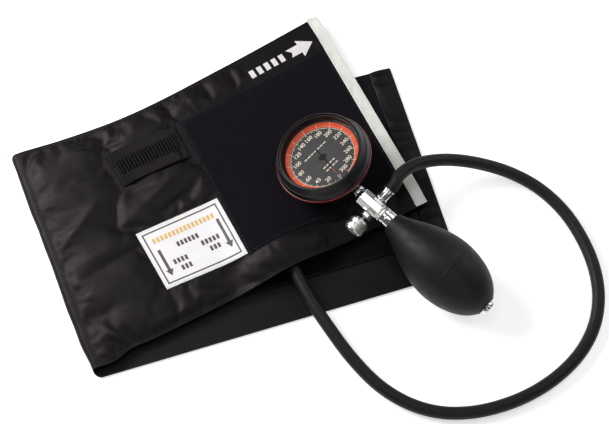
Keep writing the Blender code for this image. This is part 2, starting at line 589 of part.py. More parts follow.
def build_inlet_valve(frame):
    """The bulb's air inlet: a turned body in the bulb's end, with its ball and a slotted cap's filter."""
    end = BULB_START + BULB_LENGTH
    profile = [(0.8, end - 10.0), (4.2, end - 10.0), (4.2, end + GAP), (5.0, end + GAP), (5.0, end + 2.0),
               (4.3, end + 2.8), (2.4, end + 2.8), (2.4, end + 1.4), (0.7, end + 1.4), (0.7, end - 1.0),
               (1.6, end - 2.0), (1.6, end - 8.8), (0.8, end - 9.4)]
    add("inlet_valve", turned(profile, 24), "chrome", frame)
    spot = (0.0, 0.0, end - 3.6)
    add("inlet_ball", moved(ball(1.25), spot), "steel", frame, spot)
    add("inlet_filter", tube(0.6, 2.1, end + 1.7, end + 2.4, 16), "steel", frame)


def hose_points(start, leave):
    """Points on the hose's centre line: straight out of both fittings, and evenly spaced on a smooth curve."""
    end = Vector(PORT_FACE) + Vector((0, -GAP, 0))
    route = [start, start + leave * HOSE_STUB]
    route += [Vector(point) for point in HOSE_ROUTE]
    route += [end + Vector((0, -HOSE_STUB, 0)), end]
    smooth = []
    for i in range(1, len(route) - 2):
        for step in range(16):
            smooth.append(catmull_rom(route[i - 1], route[i], route[i + 1], route[i + 2], step / 16))
    smooth.append(route[-2])
    return [start] + evenly(smooth, HOSE_POINT_SPACING) + [end]


def catmull_rom(before, a, b, after, t):
    """A point between a and b on the centripetal curve through four points."""
    knots = [0.0]
    for p, q in ((before, a), (a, b), (b, after)):
        knots.append(knots[-1] + math.sqrt((q - p).length))
    k0, k1, k2, k3 = knots
    s = k1 + (k2 - k1) * t
    p1 = before.lerp(a, (s - k0) / (k1 - k0))
    p2 = a.lerp(b, (s - k1) / (k2 - k1))
    p3 = b.lerp(after, (s - k2) / (k3 - k2))
    q1 = p1.lerp(p2, (s - k0) / (k2 - k0))
    q2 = p2.lerp(p3, (s - k1) / (k3 - k1))
    return q1.lerp(q2, (s - k1) / (k2 - k1))


def evenly(points, spacing):
    """Points at an even spacing along a finer polyline, keeping both ends."""
    lengths = [0.0]
    for a, b in zip(points, points[1:]):
        lengths.append(lengths[-1] + (b - a).length)
    count = round(lengths[-1] / spacing)
    result = []
    spot = 0
    for i in range(count):
        target = lengths[-1] * i / count
        while lengths[spot + 1] < target:
            spot += 1
        share = (target - lengths[spot]) / (lengths[spot + 1] - lengths[spot])
        result.append(points[spot].lerp(points[spot + 1], share))
    return result + [points[-1]]


def build_hose(block, frame):
    to_cuff = frame.matrix_world.inverted() @ block.matrix_world
    start = to_cuff @ vec((BARB_END + GAP, 0.0, CROSS_Z)) / MM
    leave = (to_cuff.to_3x3() @ Vector((1, 0, 0))).normalized()
    points = [point * MM for point in hose_points(start, leave)]
    sweep("hose", points, HOSE_RADIUS, "rubber", frame)


def main():
    clear_scene()
    cuff = make_frame("cuff_frame", [-value for value in ORIGIN], (0, 0, 1), (1, 0, 0))
    up = Vector(GAUGE_NORMAL).cross(Vector(STEM_DIRECTION))
    gauge = make_frame("gauge_frame", GAUGE_CENTRE, GAUGE_NORMAL, up, cuff)
    axis = Vector(BLOCK_AXIS)
    level = Vector((0, 0, 1)).cross(axis).normalized()
    side = Matrix.Rotation(math.radians(BARB_RISE), 3, axis) @ level
    block = make_frame("block_frame", BLOCK_START, BLOCK_AXIS, side, cuff)
    bpy.context.view_layer.update()
    build_lower_half(cuff)
    build_upper_half(cuff)
    build_fold(cuff)
    build_port(cuff)
    build_gauge_case(gauge)
    build_dial(gauge)
    build_pointer(gauge)
    build_gears(gauge)
    build_hairspring(gauge)
    build_movement_plates(gauge)
    build_capsule(gauge)
    build_stem(gauge, block, cuff)
    build_block(block)
    build_barb(block)
    build_release_valve(block)
    build_connector(block)
    build_bulb(block)
    build_inlet_valve(block)
    build_hose(block, cuff)


main()
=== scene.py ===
"""Looks of the folded blood pressure cuff: its fabric, rubber, metal and print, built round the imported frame.

Sizes are in millimetres, in three frames that are worked out from the frame's joints:
  cuff   origin under the middle of the fold, X square to the fold, Y along it
  gauge  origin at the centre of the gauge's front rim, Z out of the dial, -Y along the stem
  block  origin at the valve block's gauge end, Z towards the bulb, X towards the hose barb
"""
import json
import math

import bmesh
import bpy
import numpy as np
from mathutils import Matrix, Vector
from mathutils.bvhtree import BVHTree


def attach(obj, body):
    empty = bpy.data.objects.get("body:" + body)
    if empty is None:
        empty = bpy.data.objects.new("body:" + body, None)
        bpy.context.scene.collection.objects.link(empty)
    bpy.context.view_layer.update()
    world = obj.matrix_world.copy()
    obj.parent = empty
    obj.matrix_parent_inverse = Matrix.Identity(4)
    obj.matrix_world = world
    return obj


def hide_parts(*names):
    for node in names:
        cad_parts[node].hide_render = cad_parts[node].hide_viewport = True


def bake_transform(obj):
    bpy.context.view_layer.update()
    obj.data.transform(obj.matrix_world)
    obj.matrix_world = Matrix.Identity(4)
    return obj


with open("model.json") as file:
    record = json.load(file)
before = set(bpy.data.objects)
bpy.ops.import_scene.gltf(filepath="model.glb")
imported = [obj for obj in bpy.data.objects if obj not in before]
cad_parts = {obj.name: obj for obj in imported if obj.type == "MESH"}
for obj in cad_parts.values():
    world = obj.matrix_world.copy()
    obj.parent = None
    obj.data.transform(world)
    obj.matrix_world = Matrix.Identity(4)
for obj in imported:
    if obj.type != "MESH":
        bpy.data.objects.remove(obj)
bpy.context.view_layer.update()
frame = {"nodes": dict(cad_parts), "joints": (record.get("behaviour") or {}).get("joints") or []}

MM = 0.001
JOINTS = {joint["name"]: joint for joint in frame["joints"]}
HINGE_X = -3.0  # of the fold's hinge line, in the cuff's frame
CROSS_Z = 12.7  # along the block, where the barb's and the release valve's axis crosses it

# Cuff outlines, close to the frame's. Edges run away from the fold; corners run anticlockwise from its near end.
FOLD_X = 2.3
LOWER_FOLD_X = 4.5
UPPER_NEAR = [(FOLD_X, -76.6), (14.0, -76.9), (27.3, -73.1), (42.0, -72.6), (110.0, -66.4), (233.4, -54.7)]
UPPER_FAR = [(FOLD_X, 77.0), (75.0, 75.6), (150.0, 85.0), (220.9, 96.7)]
LOWER_NEAR = [(LOWER_FOLD_X, -81.5), (236.3, -103.6)]
LOWER_FAR = [(LOWER_FOLD_X, 69.2), (251.9, 45.0)]
BLADDER = [(12.0, -61.0), (212.0, -42.0), (202.0, 78.0), (12.0, 59.0)]
LOOP_PANEL = [(115.1, -46.6), (223.2, -34.7), (215.0, 71.6), (107.6, 57.6)]
INDEX_STRIP = [(225.7, -55.0), (233.6, -54.2), (221.1, 97.0), (213.2, 96.3)]
LABEL = [(60.0, -46.7), (114.6, -45.0), (110.6, -1.8), (54.6, -4.9)]
CLIP_LOOP = [(58.4, 28.2), (106.4, 31.4), (103.7, 56.8), (54.9, 53.4)]
HOOK_PANEL = [(96.0, -66.8), (220.6, -78.7), (230.4, 20.0), (105.9, 31.9)]
END_HEM = [(221.4, -101.9), (236.0, -103.3), (251.5, 44.7), (236.9, 46.1)]
PRINT_ZONE = [(157.0, 66.0), (214.0, 66.0), (214.0, 92.0), (157.0, 88.0)]
UPPER_TOP = 9.4
UPPER_UNDER = 4.4
LOWER_TOP = 1.9
LOWER_UNDER = 0.12
UPPER_LENGTH = 230.0
LOWER_LENGTH = 235.0
HEM = 1.6
FOLD_RADIUS = 4.7
INNER_FOLD_RADIUS = 1.25
LIFT = 8.0
LIFT_CENTRE_X = 137.0
LIFT_HALF_WIDTH = 42.0
LIFT_FULL_Y = -40.0
LIFT_NONE_Y = 20.0

# Gauge. Depths run back from the front rim.
ZERO_ANGLE = 7.0
DEGREES_PER_UNIT = 1.14
DIAL_DEPTH = 8.3
DIAL_RADIUS = 23.8
DIAL_VIEW_RADIUS = 21.1
POINTER_DEPTH = 7.7
FLARE_DEPTH = 9.2
CASE_DEPTH = 24.0
STEM_DEPTH = 18.6
NIPPLE_RADIUS = 2.9
PRINT_THICK = 0.05
SCALE_END = 300
NUMERAL_SIZE = 3.8
NUMERAL_RADIUS = 16.7

# Valve block, bulb and hose.
BLOCK_LENGTH = 20.0
BLOCK_RADIUS = 5.8
BULB_START = 27.3
BULB_LENGTH = 77.2
BULB_RADIUS = 21.2
BULB_BELLY = 0.57
BULB_NECK = 6.8
BULB_WALL = 2.4
BULB_BORE = 4.5
BULB_TIP = 1.017  # where the blunt end would close, as a share of the length
BULB_RIDGE = 0.60  # where the mould's halves met, as a share of the length
RIDGE_HEIGHT = 0.18
NECK_BEAD = 0.35
BULB_GAP = 0.3
KNOB_NEAR = 11.2
KNOB_LENGTH = 9.4
KNOB_RADIUS = 6.4
KNURL_TEETH = 40
KNURL_DEPTH = 0.08
BARB_END = 14.0
HOSE_RADIUS = 4.0
HOSE_GAP = 0.3  # left at both ends of the hose
HOSE_ROUTE = [
    (0.2180, -0.0410, 0.0334), (0.2283, -0.0370, 0.0312), (0.2405, -0.0362, 0.0270),
    (0.2560, -0.0386, 0.0208), (0.2736, -0.0454, 0.0138), (0.2906, -0.0566, 0.0080),
    (0.3036, -0.0720, 0.0050), (0.3116, -0.0918, 0.0043), (0.3142, -0.1134, 0.0042),
    (0.3124, -0.1342, 0.0042), (0.3063, -0.1523, 0.0042), (0.2958, -0.1676, 0.0042),
    (0.2813, -0.1794, 0.0042), (0.2618, -0.1879, 0.0042), (0.2404, -0.1920, 0.0042),
    (0.2196, -0.1918, 0.0042), (0.2009, -0.1882, 0.0042), (0.1842, -0.1810, 0.0042),
    (0.1696, -0.1692, 0.0042), (0.1575, -0.1522, 0.0044), (0.1490, -0.1306, 0.0052),
    (0.1434, -0.1074, 0.0066), (0.1396, -0.0864, 0.0075), (0.1381, -0.0680, 0.0076),
]
PORT_FACE = (0.1378, -0.0464, 0.0076)

# Camera, seen from the cuff's frame.
TARGET = (0.1599, -0.0281, 0.0)
AZIMUTH = 22.6
ELEVATION = 68.0
DISTANCE = 0.92

# Lights: name, place from the camera's target in metres, size and power.
LIGHTS = [
    ("key", (-0.46, 0.46, 0.56), 0.42, 7.0),
    ("fill", (1.15, 0.25, 0.95), 1.0, 6.0),
    ("front", (-0.2, -1.3, 1.0), 1.2, 4.0),
    ("top", (-0.10, 0.02, 1.6), 0.62, 2.4),
]
FLOOR_HALF = 3.0
FLOOR_Z = -0.0002
FLOOR_GLOW = 0.52
WORLD_LIGHT = 0.10


# ---------------------------------------------------------------- frames

def axes_at(origin, z, x):
    """The matrix of a frame whose Z and X lie along the given directions."""
    z = Vector(z).normalized()
    y = z.cross(Vector(x)).normalized()
    turn = Matrix((y.cross(z), y, z)).transposed().to_4x4()
    return Matrix.Translation(origin) @ turn


def cuff_frame():
    hinge = Vector(JOINTS["cuff_fold"]["pos_m"])
    return Matrix.Translation((hinge.x - HINGE_X * MM, hinge.y, 0.0))


def gauge_frame():
    sweep, rocker = JOINTS["pointer_sweep"], JOINTS["rocker_turn"]
    return axes_at(sweep["pos_m"], sweep["axis"], -Vector(rocker["axis"]))


def block_frame():
    knob = JOINTS["release_turn"]
    z = -Vector(JOINTS["outlet_ball_lift"]["axis"])
    return axes_at(Vector(knob["pos_m"]) - z * CROSS_Z * MM, z, -Vector(knob["axis"]))


CUFF = cuff_frame()
GAUGE = gauge_frame()
BLOCK = block_frame()


# ---------------------------------------------------------------- materials

DARK_CLOTH_SHEEN = (1.0, 0.86, 1.0, 1.0)


class Look:
    """A Principled material, with short calls for the patterns that its colour, roughness and bump use."""

    def __init__(self, name, colour, roughness, metallic=0.0, **sockets):
        self.material = bpy.data.materials.new(name)
        self.material.use_nodes = True
        self.tree = self.material.node_tree
        self.shader = self.tree.nodes["Principled BSDF"]
        self.colour = colour
        self.set("Base Color", (*colour, 1.0))
        self.set("Roughness", roughness)
        self.set("Metallic", metallic)
        for socket, value in sockets.items():
            self.set(socket.replace("_", " "), value)
        self.place = self.tree.nodes.new("ShaderNodeTexCoord").outputs["Object"]
        self.normal = None

    def set(self, socket, value):
        self.shader.inputs[socket].default_value = value

    def link(self, source, target):
        self.tree.links.new(source, target)

    def noise(self, size, detail=3.0, stretch=(1, 1, 1)):
        """Soft noise whose lumps are about size millimetres across."""
        mapping = self.tree.nodes.new("ShaderNodeMapping")
        mapping.inputs["Scale"].default_value = stretch
        self.link(self.place, mapping.inputs["Vector"])
        node = self.tree.nodes.new("ShaderNodeTexNoise")
        node.inputs["Scale"].default_value = 1 / (size * MM)
        node.inputs["Detail"].default_value = detail
        self.link(mapping.outputs["Vector"], node.inputs["Vector"])
        return node.outputs["Fac"]

    def ranged(self, value, low, high, from_low=0.3, from_high=0.7):
        node = self.tree.nodes.new("ShaderNodeMapRange")
        sockets = ("From Min", "From Max", "To Min", "To Max")
        for socket, number in zip(sockets, (from_low, from_high, low, high)):
            node.inputs[socket].default_value = number
        self.link(value, node.inputs["Value"])
        return node.outputs["Result"]

    def tint(self, value, other):
        """Mix the base colour towards another where the pattern is high."""
        node = self.tree.nodes.new("ShaderNodeMix")
        node.data_type = "RGBA"
        node.inputs["A"].default_value = (*self.colour, 1.0)
        node.inputs["B"].default_value = (*other, 1.0)
        self.link(value, node.inputs["Factor"])
        self.link(node.outputs["Result"], self.shader.inputs["Base Color"])

    def math(self, operation, a, b=None):
        node = self.tree.nodes.new("ShaderNodeMath")
        node.operation = operation
        for socket, value in zip(node.inputs, (a, b)):
            if isinstance(value, (int, float)):
                socket.default_value = value
            elif value is not None:
                self.link(value, socket)
        return node.outputs["Value"]

    def threads(self, pitch, directions=("X", "Y")):
        """The height of crossing threads, pitch millimetres apart, each a sine across its direction."""
        split = self.tree.nodes.new("ShaderNodeSeparateXYZ")
        self.link(self.place, split.inputs["Vector"])
        height = None
        for axis in directions:
            wave = self.math("SINE", self.math("MULTIPLY", split.outputs[axis], math.tau / (pitch * MM)))
            height = wave if height is None else self.math("MULTIPLY", height, wave)
        return height

    def bump(self, height, depth, strength=1.0):
        """Raise the surface by depth millimetres where the pattern goes from 0 to 1."""
        node = self.tree.nodes.new("ShaderNodeBump")
        node.inputs["Distance"].default_value = depth * MM
        node.inputs["Strength"].default_value = strength
        self.link(height, node.inputs["Height"])
        if self.normal is not None:
            self.link(self.normal, node.inputs["Normal"])
        self.normal = node.outputs["Normal"]
        self.link(self.normal, self.shader.inputs["Normal"])

    def roughen(self, value):
        self.link(value, self.shader.inputs["Roughness"])


def nylon_look():
    look = Look("nylon", (0.0022, 0.0016, 0.0023), 0.5, Specular_IOR_Level=0.205,
                Specular_Tint=(1.0, 0.88, 0.98, 1.0))
    look.tint(look.ranged(look.noise(22.0, 4.0), 0.0, 1.0), (0.0040, 0.0031, 0.0036))
    look.roughen(look.ranged(look.noise(9.0, 3.0), 0.46, 0.54))
    look.bump(look.threads(0.55), 0.02, 0.4)
    look.bump(look.noise(4.0, 4.0), 0.12, 0.5)
    look.bump(look.noise(11.0, 5.0, (1.0, 2.2, 1.0)), 0.40, 0.55)
    return look.material


def pile_look():
    look = Look("loop_pile", (0.0016, 0.0012, 0.0024), 0.8, Specular_IOR_Level=0.15,
                Specular_Tint=DARK_CLOTH_SHEEN)
    look.tint(look.ranged(look.noise(0.9, 4.0), 0.0, 1.0), (0.0062, 0.0053, 0.0084))
    look.bump(look.noise(0.5, 5.0), 0.25, 0.7)
    look.bump(look.threads(0.6, ("Y",)), 0.06, 0.5)
    return look.material


def hook_look():
    look = Look("hook_pile", (0.0018, 0.0015, 0.0021), 0.8, Specular_IOR_Level=0.12,
                Specular_Tint=DARK_CLOTH_SHEEN)
    look.tint(look.ranged(look.noise(0.9, 3.0), 0.0, 1.0), (0.0050, 0.0045, 0.0056))
    look.bump(look.threads(1.1), 0.3, 0.8)
    look.bump(look.noise(0.6, 3.0), 0.25, 0.6)
    return look.material


def webbing_look():
    look = Look("webbing", (0.0010, 0.0008, 0.0010), 0.42, Specular_IOR_Level=0.20,
                Specular_Tint=DARK_CLOTH_SHEEN)
    look.tint(look.ranged(look.noise(0.8, 3.0, (1, 3, 1)), 0.0, 1.0), (0.0036, 0.0031, 0.0034))
    look.bump(look.threads(0.45), 0.08, 0.7)
    return look.material


def tape_look():
    look = Look("index_tape", (0.78, 0.79, 0.74), 0.6)
    look.tint(look.ranged(look.noise(9.0, 4.0), 0.0, 1.0), (0.86, 0.86, 0.82))
    look.bump(look.threads(0.7), 0.05, 0.8)
    look.bump(look.noise(3.0, 3.0), 0.12, 0.4)
    return look.material


def label_look():
    look = Look("label_satin", (0.86, 0.84, 0.85), 0.42)
    look.tint(look.ranged(look.noise(14.0, 3.0), 0.0, 1.0), (0.91, 0.89, 0.90))
    look.bump(look.threads(0.35), 0.012, 0.6)
    look.bump(look.noise(9.0, 2.0), 0.15, 0.35)
    return look.material


def print_look(name, colour, worn):
    """Printing ink, worn thin in small spots."""
    look = Look(name, colour, 0.5)
    look.tint(look.ranged(look.noise(0.9, 4.0), 0.0, 1.0, 0.45, 0.85), worn)
    look.bump(look.noise(0.4, 2.0), 0.02, 0.5)
    return look.material


def rubber_look(name, colour, dusty, rough=(0.5, 0.68), specular=0.35):
    look = Look(name, colour, 0.6, Specular_IOR_Level=specular)
    look.tint(look.ranged(look.noise(4.0, 6.0), 0.0, 1.0), dusty)
    look.roughen(look.ranged(look.noise(6.0, 4.0), *rough))
    look.bump(look.noise(0.35, 4.0), 0.02, 0.6)
    look.bump(look.noise(3.0, 3.0), 0.05, 0.4)
    return look.material


def plastic_look(name, colour, light, rough=(0.26, 0.38), **sockets):
    """Moulded plastic, with a fine grain and slight unevenness."""
    look = Look(name, colour, 0.35, **sockets)
    look.tint(look.ranged(look.noise(5.0, 4.0), 0.0, 1.0), light)
    look.roughen(look.ranged(look.noise(2.5, 4.0), *rough))
    look.bump(look.noise(0.25, 2.0), 0.006, 0.6)
    return look.material


def metal_look(name, colour, dull, rough, brushed=(1, 1, 1)):
    """Metal with faint marks that run square to the stretch, and cloudy patches."""
    look = Look(name, colour, sum(rough) / 2, 1.0)
    look.tint(look.ranged(look.noise(3.0, 5.0), 0.0, 1.0), dull)
    look.roughen(look.ranged(look.noise(2.0, 3.0, brushed), *rough))
    look.bump(look.noise(2.0, 2.0, brushed), 0.003, 0.3)
    return look.material


def lens_look():
    look = Look("clear_lens", (0.28, 0.29, 0.30), 0.12, Alpha=0.035, Specular_IOR_Level=0.5)
    look.bump(look.noise(12.0, 1.0), 0.004, 0.2)
    look.tint(look.ranged(look.noise(6.0, 3.0), 0.0, 1.0), (0.36, 0.36, 0.35))
    return look.material


MATERIALS = {
    "nylon": nylon_look(),
    "pile": pile_look(),
    "hooks": hook_look(),
    "webbing": webbing_look(),
    "tape": tape_look(),
    "label": label_look(),
    "white_print": print_look("white_print", (0.78, 0.75, 0.77), (0.55, 0.53, 0.54)),
    "dark_print": print_look("dark_print", (0.075, 0.062, 0.050), (0.16, 0.14, 0.12)),
    "amber_print": print_look("amber_print", (0.72, 0.46, 0.15), (0.80, 0.60, 0.30)),
    "dial_print": print_look("dial_print", (0.84, 0.80, 0.64), (0.70, 0.66, 0.52)),
    "ring_print": print_look("ring_print", (0.85, 0.66, 0.50), (0.80, 0.50, 0.35)),
    "thread": rubber_look("black_thread", (0.0075, 0.0070, 0.0070), (0.016, 0.015, 0.0145), (0.40, 0.55)),
    "pale_thread": rubber_look("pale_thread", (0.55, 0.56, 0.52), (0.66, 0.66, 0.62), (0.45, 0.6)),
    "bladder": rubber_look("bladder_rubber", (0.03, 0.028, 0.026), (0.05, 0.047, 0.043)),
    "port": rubber_look("port_rubber", (0.010, 0.010, 0.010), (0.02, 0.02, 0.02)),
    "rubber": rubber_look("black_rubber", (0.0042, 0.0038, 0.0034), (0.0066, 0.0061, 0.0055),
                          (0.48, 0.60), 0.30),
    "bumper": rubber_look("bumper_rubber", (0.0022, 0.0018, 0.0022), (0.0042, 0.0037, 0.0041),
                          (0.32, 0.44), 0.32),
    "case": plastic_look("case_plastic", (0.0020, 0.0017, 0.0020), (0.0038, 0.0034, 0.0037),
                         Specular_IOR_Level=0.32),
    "red": plastic_look("red_plastic", (0.15, 0.006, 0.006), (0.21, 0.010, 0.009)),
    "orange": plastic_look("orange_plastic", (0.80, 0.072, 0.016), (0.92, 0.125, 0.028), (0.40, 0.5),
                           Specular_IOR_Level=0.25),
    "dial": plastic_look("dial_enamel", (0.036, 0.034, 0.034), (0.042, 0.040, 0.040), (0.5, 0.62),
                         Specular_IOR_Level=0.2),
    "black_paint": plastic_look("pointer_paint", (0.0015, 0.0015, 0.0015), (0.004, 0.004, 0.004), (0.5, 0.6),
                                Specular_IOR_Level=0.08),
    "red_paint": plastic_look("pointer_tip_paint", (0.30, 0.016, 0.012), (0.42, 0.03, 0.02)),
    "lens": lens_look(),
    "brass": metal_look("brass", (0.60, 0.42, 0.16), (0.46, 0.31, 0.11), (0.20, 0.36), (1, 6, 1)),
    "steel": metal_look("steel", (0.52, 0.52, 0.52), (0.40, 0.40, 0.41), (0.18, 0.34), (6, 1, 1)),
    "chrome": metal_look("chrome", (0.80, 0.80, 0.79), (0.765, 0.765, 0.76), (0.145, 0.165)),
    "satin_chrome": metal_look("satin_chrome", (0.74, 0.73, 0.71), (0.67, 0.66, 0.64), (0.26, 0.31)),
}


# ---------------------------------------------------------------- shapes

def add_piece(name, bm, place, look, body, smooth=40.0):
    """Turn a mesh in millimetres of a frame into a piece that rides on a body."""
    bmesh.ops.recalc_face_normals(bm, faces=bm.faces)
    bmesh.ops.scale(bm, verts=bm.verts, vec=(MM, MM, MM))
    mesh = bpy.data.meshes.new(name)
    bm.to_mesh(mesh)
    bm.free()
    mesh.transform(place.to_3x3().to_4x4())
    mesh.shade_smooth()
    mesh.set_sharp_from_angle(angle=math.radians(smooth))
    mesh.materials.append(MATERIALS[look])
    piece = bpy.data.objects.new(name, mesh)
    bpy.context.scene.collection.objects.link(piece)
    piece.location = place.translation
    bpy.context.view_layer.update()
    if body:
        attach(piece, body)
    return piece


def rounded(corners, steps=4):
    """A closed profile through (x, y, radius) corners, each rounded over about its radius."""
    points = []
    for i, (x, y, radius) in enumerate(corners):
        here = Vector((x, y))
        if radius == 0:
            points.append(here)
            continue
        before = Vector(corners[i - 1][:2]) - here
        after = Vector(corners[(i + 1) % len(corners)][:2]) - here
        reach = min(radius / math.tan(before.angle(after) / 2), 0.48 * before.length, 0.48 * after.length)
        start = here + before.normalized() * reach
        end = here + after.normalized() * reach
        for step in range(steps + 1):
            share = step / steps
            points.append(start.lerp(here, share).lerp(here.lerp(end, share), share))
    return [(point.x, point.y) for point in points]


def turned(profile, segments=72, axis="Z", radius_at=None):
    """Spin a closed profile of (radius, height) points. radius_at may change a radius by height and angle."""
    bm = bmesh.new()
    rings = []
    for segment in range(segments):
        angle = math.tau * segment / segments
        ring = []
        for radius, height in profile:
            if radius_at:
                radius = radius_at(radius, height, angle)
            ring.append(bm.verts.new((radius * math.cos(angle), radius * math.sin(angle), height)))
        rings.append(ring)
    for segment in range(segments):
        a, b = rings[segment - 1], rings[segment]
        for i in range(len(profile)):
            bm.faces.new((a[i - 1], b[i - 1], b[i], a[i]))
    bmesh.ops.remove_doubles(bm, verts=bm.verts, dist=0.00001)
    bmesh.ops.dissolve_degenerate(bm, edges=bm.edges, dist=0.00001)
    if axis == "X":
        bmesh.ops.rotate(bm, verts=bm.verts, cent=(0, 0, 0), matrix=Matrix.Rotation(math.pi / 2, 3, "Y"))
    return bm


def tube(name, line, radius, resolution, look):
    """A round rod, radius in millimetres, along a line of points in the world."""
    data = bpy.data.curves.new(name, "CURVE")
    data.dimensions = "3D"
    data.bevel_depth = radius * MM
    data.bevel_resolution = resolution
    data.use_fill_caps = True
    spline = data.splines.new("POLY")
    spline.points.add(len(line) - 1)
    for spot, point in zip(spline.points, line):
        spot.co = (*point, 1.0)
    spline.use_smooth = True
    data.materials.append(MATERIALS[look])
    piece = bpy.data.objects.new(name, data)
    bpy.context.scene.collection.objects.link(piece)
    return piece


def moved(bm, offset):
    bmesh.ops.translate(bm, verts=bm.verts, vec=offset)
    return bm


def add_mesh(bm, verts, faces):
    """Add one more closed shape to a mesh."""
    made = [bm.verts.new(vert) for vert in verts]
    for face in faces:
        bm.faces.new([made[i] for i in face])


def box_shape(a, b, c, d, up):
    """A thin slab over a four-cornered patch, raised by the vector up."""
    low = [Vector(point) for point in (a, b, c, d)]
    high = [point + Vector(up) for point in low]
    faces = [(3, 2, 1, 0), (4, 5, 6, 7), (0, 1, 5, 4), (1, 2, 6, 5), (2, 3, 7, 6), (3, 0, 4, 7)]
    return low + high, faces


def outline_prism(bm, points, low, high):
    """A closed prism over a flat outline."""
    count = len(points)
    verts = [(x, y, low) for x, y in points] + [(x, y, high) for x, y in points]
    faces = [tuple(range(count))[::-1], tuple(range(count, 2 * count))]
    faces += [(i, (i + 1) % count, (i + 1) % count + count, i + count) for i in range(count)]
    add_mesh(bm, verts, faces)


def sheet_mesh(top, under):
    """A closed mesh between two grids of points of the same size, joined round their border."""
    rows, columns = top.shape[:2]
    bm = bmesh.new()
    layers = []
    for grid in (top, under):
        layers.append([[bm.verts.new(grid[j, i]) for i in range(columns)] for j in range(rows)])
    upper, lower = layers
    for j in range(rows - 1):
        for i in range(columns - 1):
            bm.faces.new((upper[j][i], upper[j][i + 1], upper[j + 1][i + 1], upper[j + 1][i]))
            bm.faces.new((lower[j][i], lower[j + 1][i], lower[j + 1][i + 1], lower[j][i + 1]))
    border = [(0, i) for i in range(columns - 1)] + [(j, columns - 1) for j in range(rows - 1)]
    border += [(rows - 1, i) for i in range(columns - 1, 0, -1)] + [(j, 0) for j in range(rows - 1, 0, -1)]
    for here, after in zip(border, border[1:] + border[:1]):
        bm.faces.new((upper[after[0]][after[1]], upper[here[0]][here[1]],
                      lower[here[0]][here[1]], lower[after[0]][after[1]]))
    return bm


def smoothstep(value):
    value = min(max(value, 0.0), 1.0)
    return value * value * (3 - 2 * value)


def catmull_rom(before, a, b, after, t):
    """A point between a and b on the centripetal curve through four points."""
    knots = [0.0]
    for p, q in ((before, a), (a, b), (b, after)):
        knots.append(knots[-1] + math.sqrt((q - p).length))
    k0, k1, k2, k3 = knots
    s = k1 + (k2 - k1) * t
    p1 = before.lerp(a, (s - k0) / (k1 - k0))
    p2 = a.lerp(b, (s - k1) / (k2 - k1))
    p3 = b.lerp(after, (s - k2) / (k3 - k2))
    q1 = p1.lerp(p2, (s - k0) / (k2 - k0))
    q2 = p2.lerp(p3, (s - k1) / (k3 - k1))
    return q1.lerp(q2, (s - k1) / (k2 - k1))


def through(points, share):
    """A point at a share of the way in X along a smooth curve through flat points."""
    spots = [Vector(point) for point in points]
    if len(spots) == 2:
        return spots[0].lerp(spots[1], share)
    spots = [spots[0] * 2 - spots[1], *spots, spots[-1] * 2 - spots[-2]]
    x = spots[1].x + (spots[-2].x - spots[1].x) * share
    k = 1
    while k < len(spots) - 3 and spots[k + 1].x < x:
        k += 1
    return catmull_rom(*spots[k - 1:k + 3], (x - spots[k].x) / (spots[k + 1].x - spots[k].x))


def inside(corners, x, y, margin=0.0):
    """How far a place lies inside a four-cornered outline, in millimetres, plus a margin; below 0 outside."""
    nearest = math.inf
    for (ax, ay), (bx, by) in zip(corners, corners[1:] + corners[:1]):
        length = math.hypot(bx - ax, by - ay)
        nearest = min(nearest, ((bx - ax) * (y - ay) - (by - ay) * (x - ax)) / length)
    return nearest + margin


def patch(corners, u, v):
    """A place inside a four-cornered outline, at shares u along it and v across it."""
    near = Vector(corners[0]).lerp(Vector(corners[1]), u)
    far = Vector(corners[3]).lerp(Vector(corners[2]), u)
    return near.lerp(far, v)


def ripple(x, y, seed=0.0):
    """A gentle unevenness between about -1 and 1, made of a few crossing waves."""
    total = 0.0
    for k, (length, turn) in enumerate(((61.0, 0.4), (37.0, 1.9), (23.0, 2.8), (15.0, 0.9))):
        along = x * math.cos(turn + seed) + y * math.sin(turn + seed)
        total += math.sin(math.tau * along / length + seed * (k + 2) * 1.7) / (k + 1.5)
    return total / 1.6


# ---------------------------------------------------------------- hose

def cuff_point(point):
    return CUFF @ Vector(point)


def build_hose():
    """The free hose from the block's barb round to the bladder's port, one smooth curve."""
    start = BLOCK @ Vector(((BARB_END + HOSE_GAP) * MM, 0.0, CROSS_Z * MM))
    leave = (BLOCK.to_3x3() @ Vector((1, 0, 0))).normalized()
    end = cuff_point(PORT_FACE) + Vector((0.0, -HOSE_GAP * MM, 0.0))
    stub = 0.004
    route = [start, start + leave * stub, *map(cuff_point, HOSE_ROUTE), end + Vector((0, -stub, 0)), end]
    smooth = [start]
    for i in range(1, len(route) - 2):
        for step in range(6):
            smooth.append(catmull_rom(route[i - 1], route[i], route[i + 1], route[i + 2], step / 6))
    smooth += [route[-2], end]
    hose = tube("rubber_hose", smooth, HOSE_RADIUS, 10, "rubber")
    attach(hose, "cuff_upper")
    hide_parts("hose")


# ---------------------------------------------------------------- cuff fabric

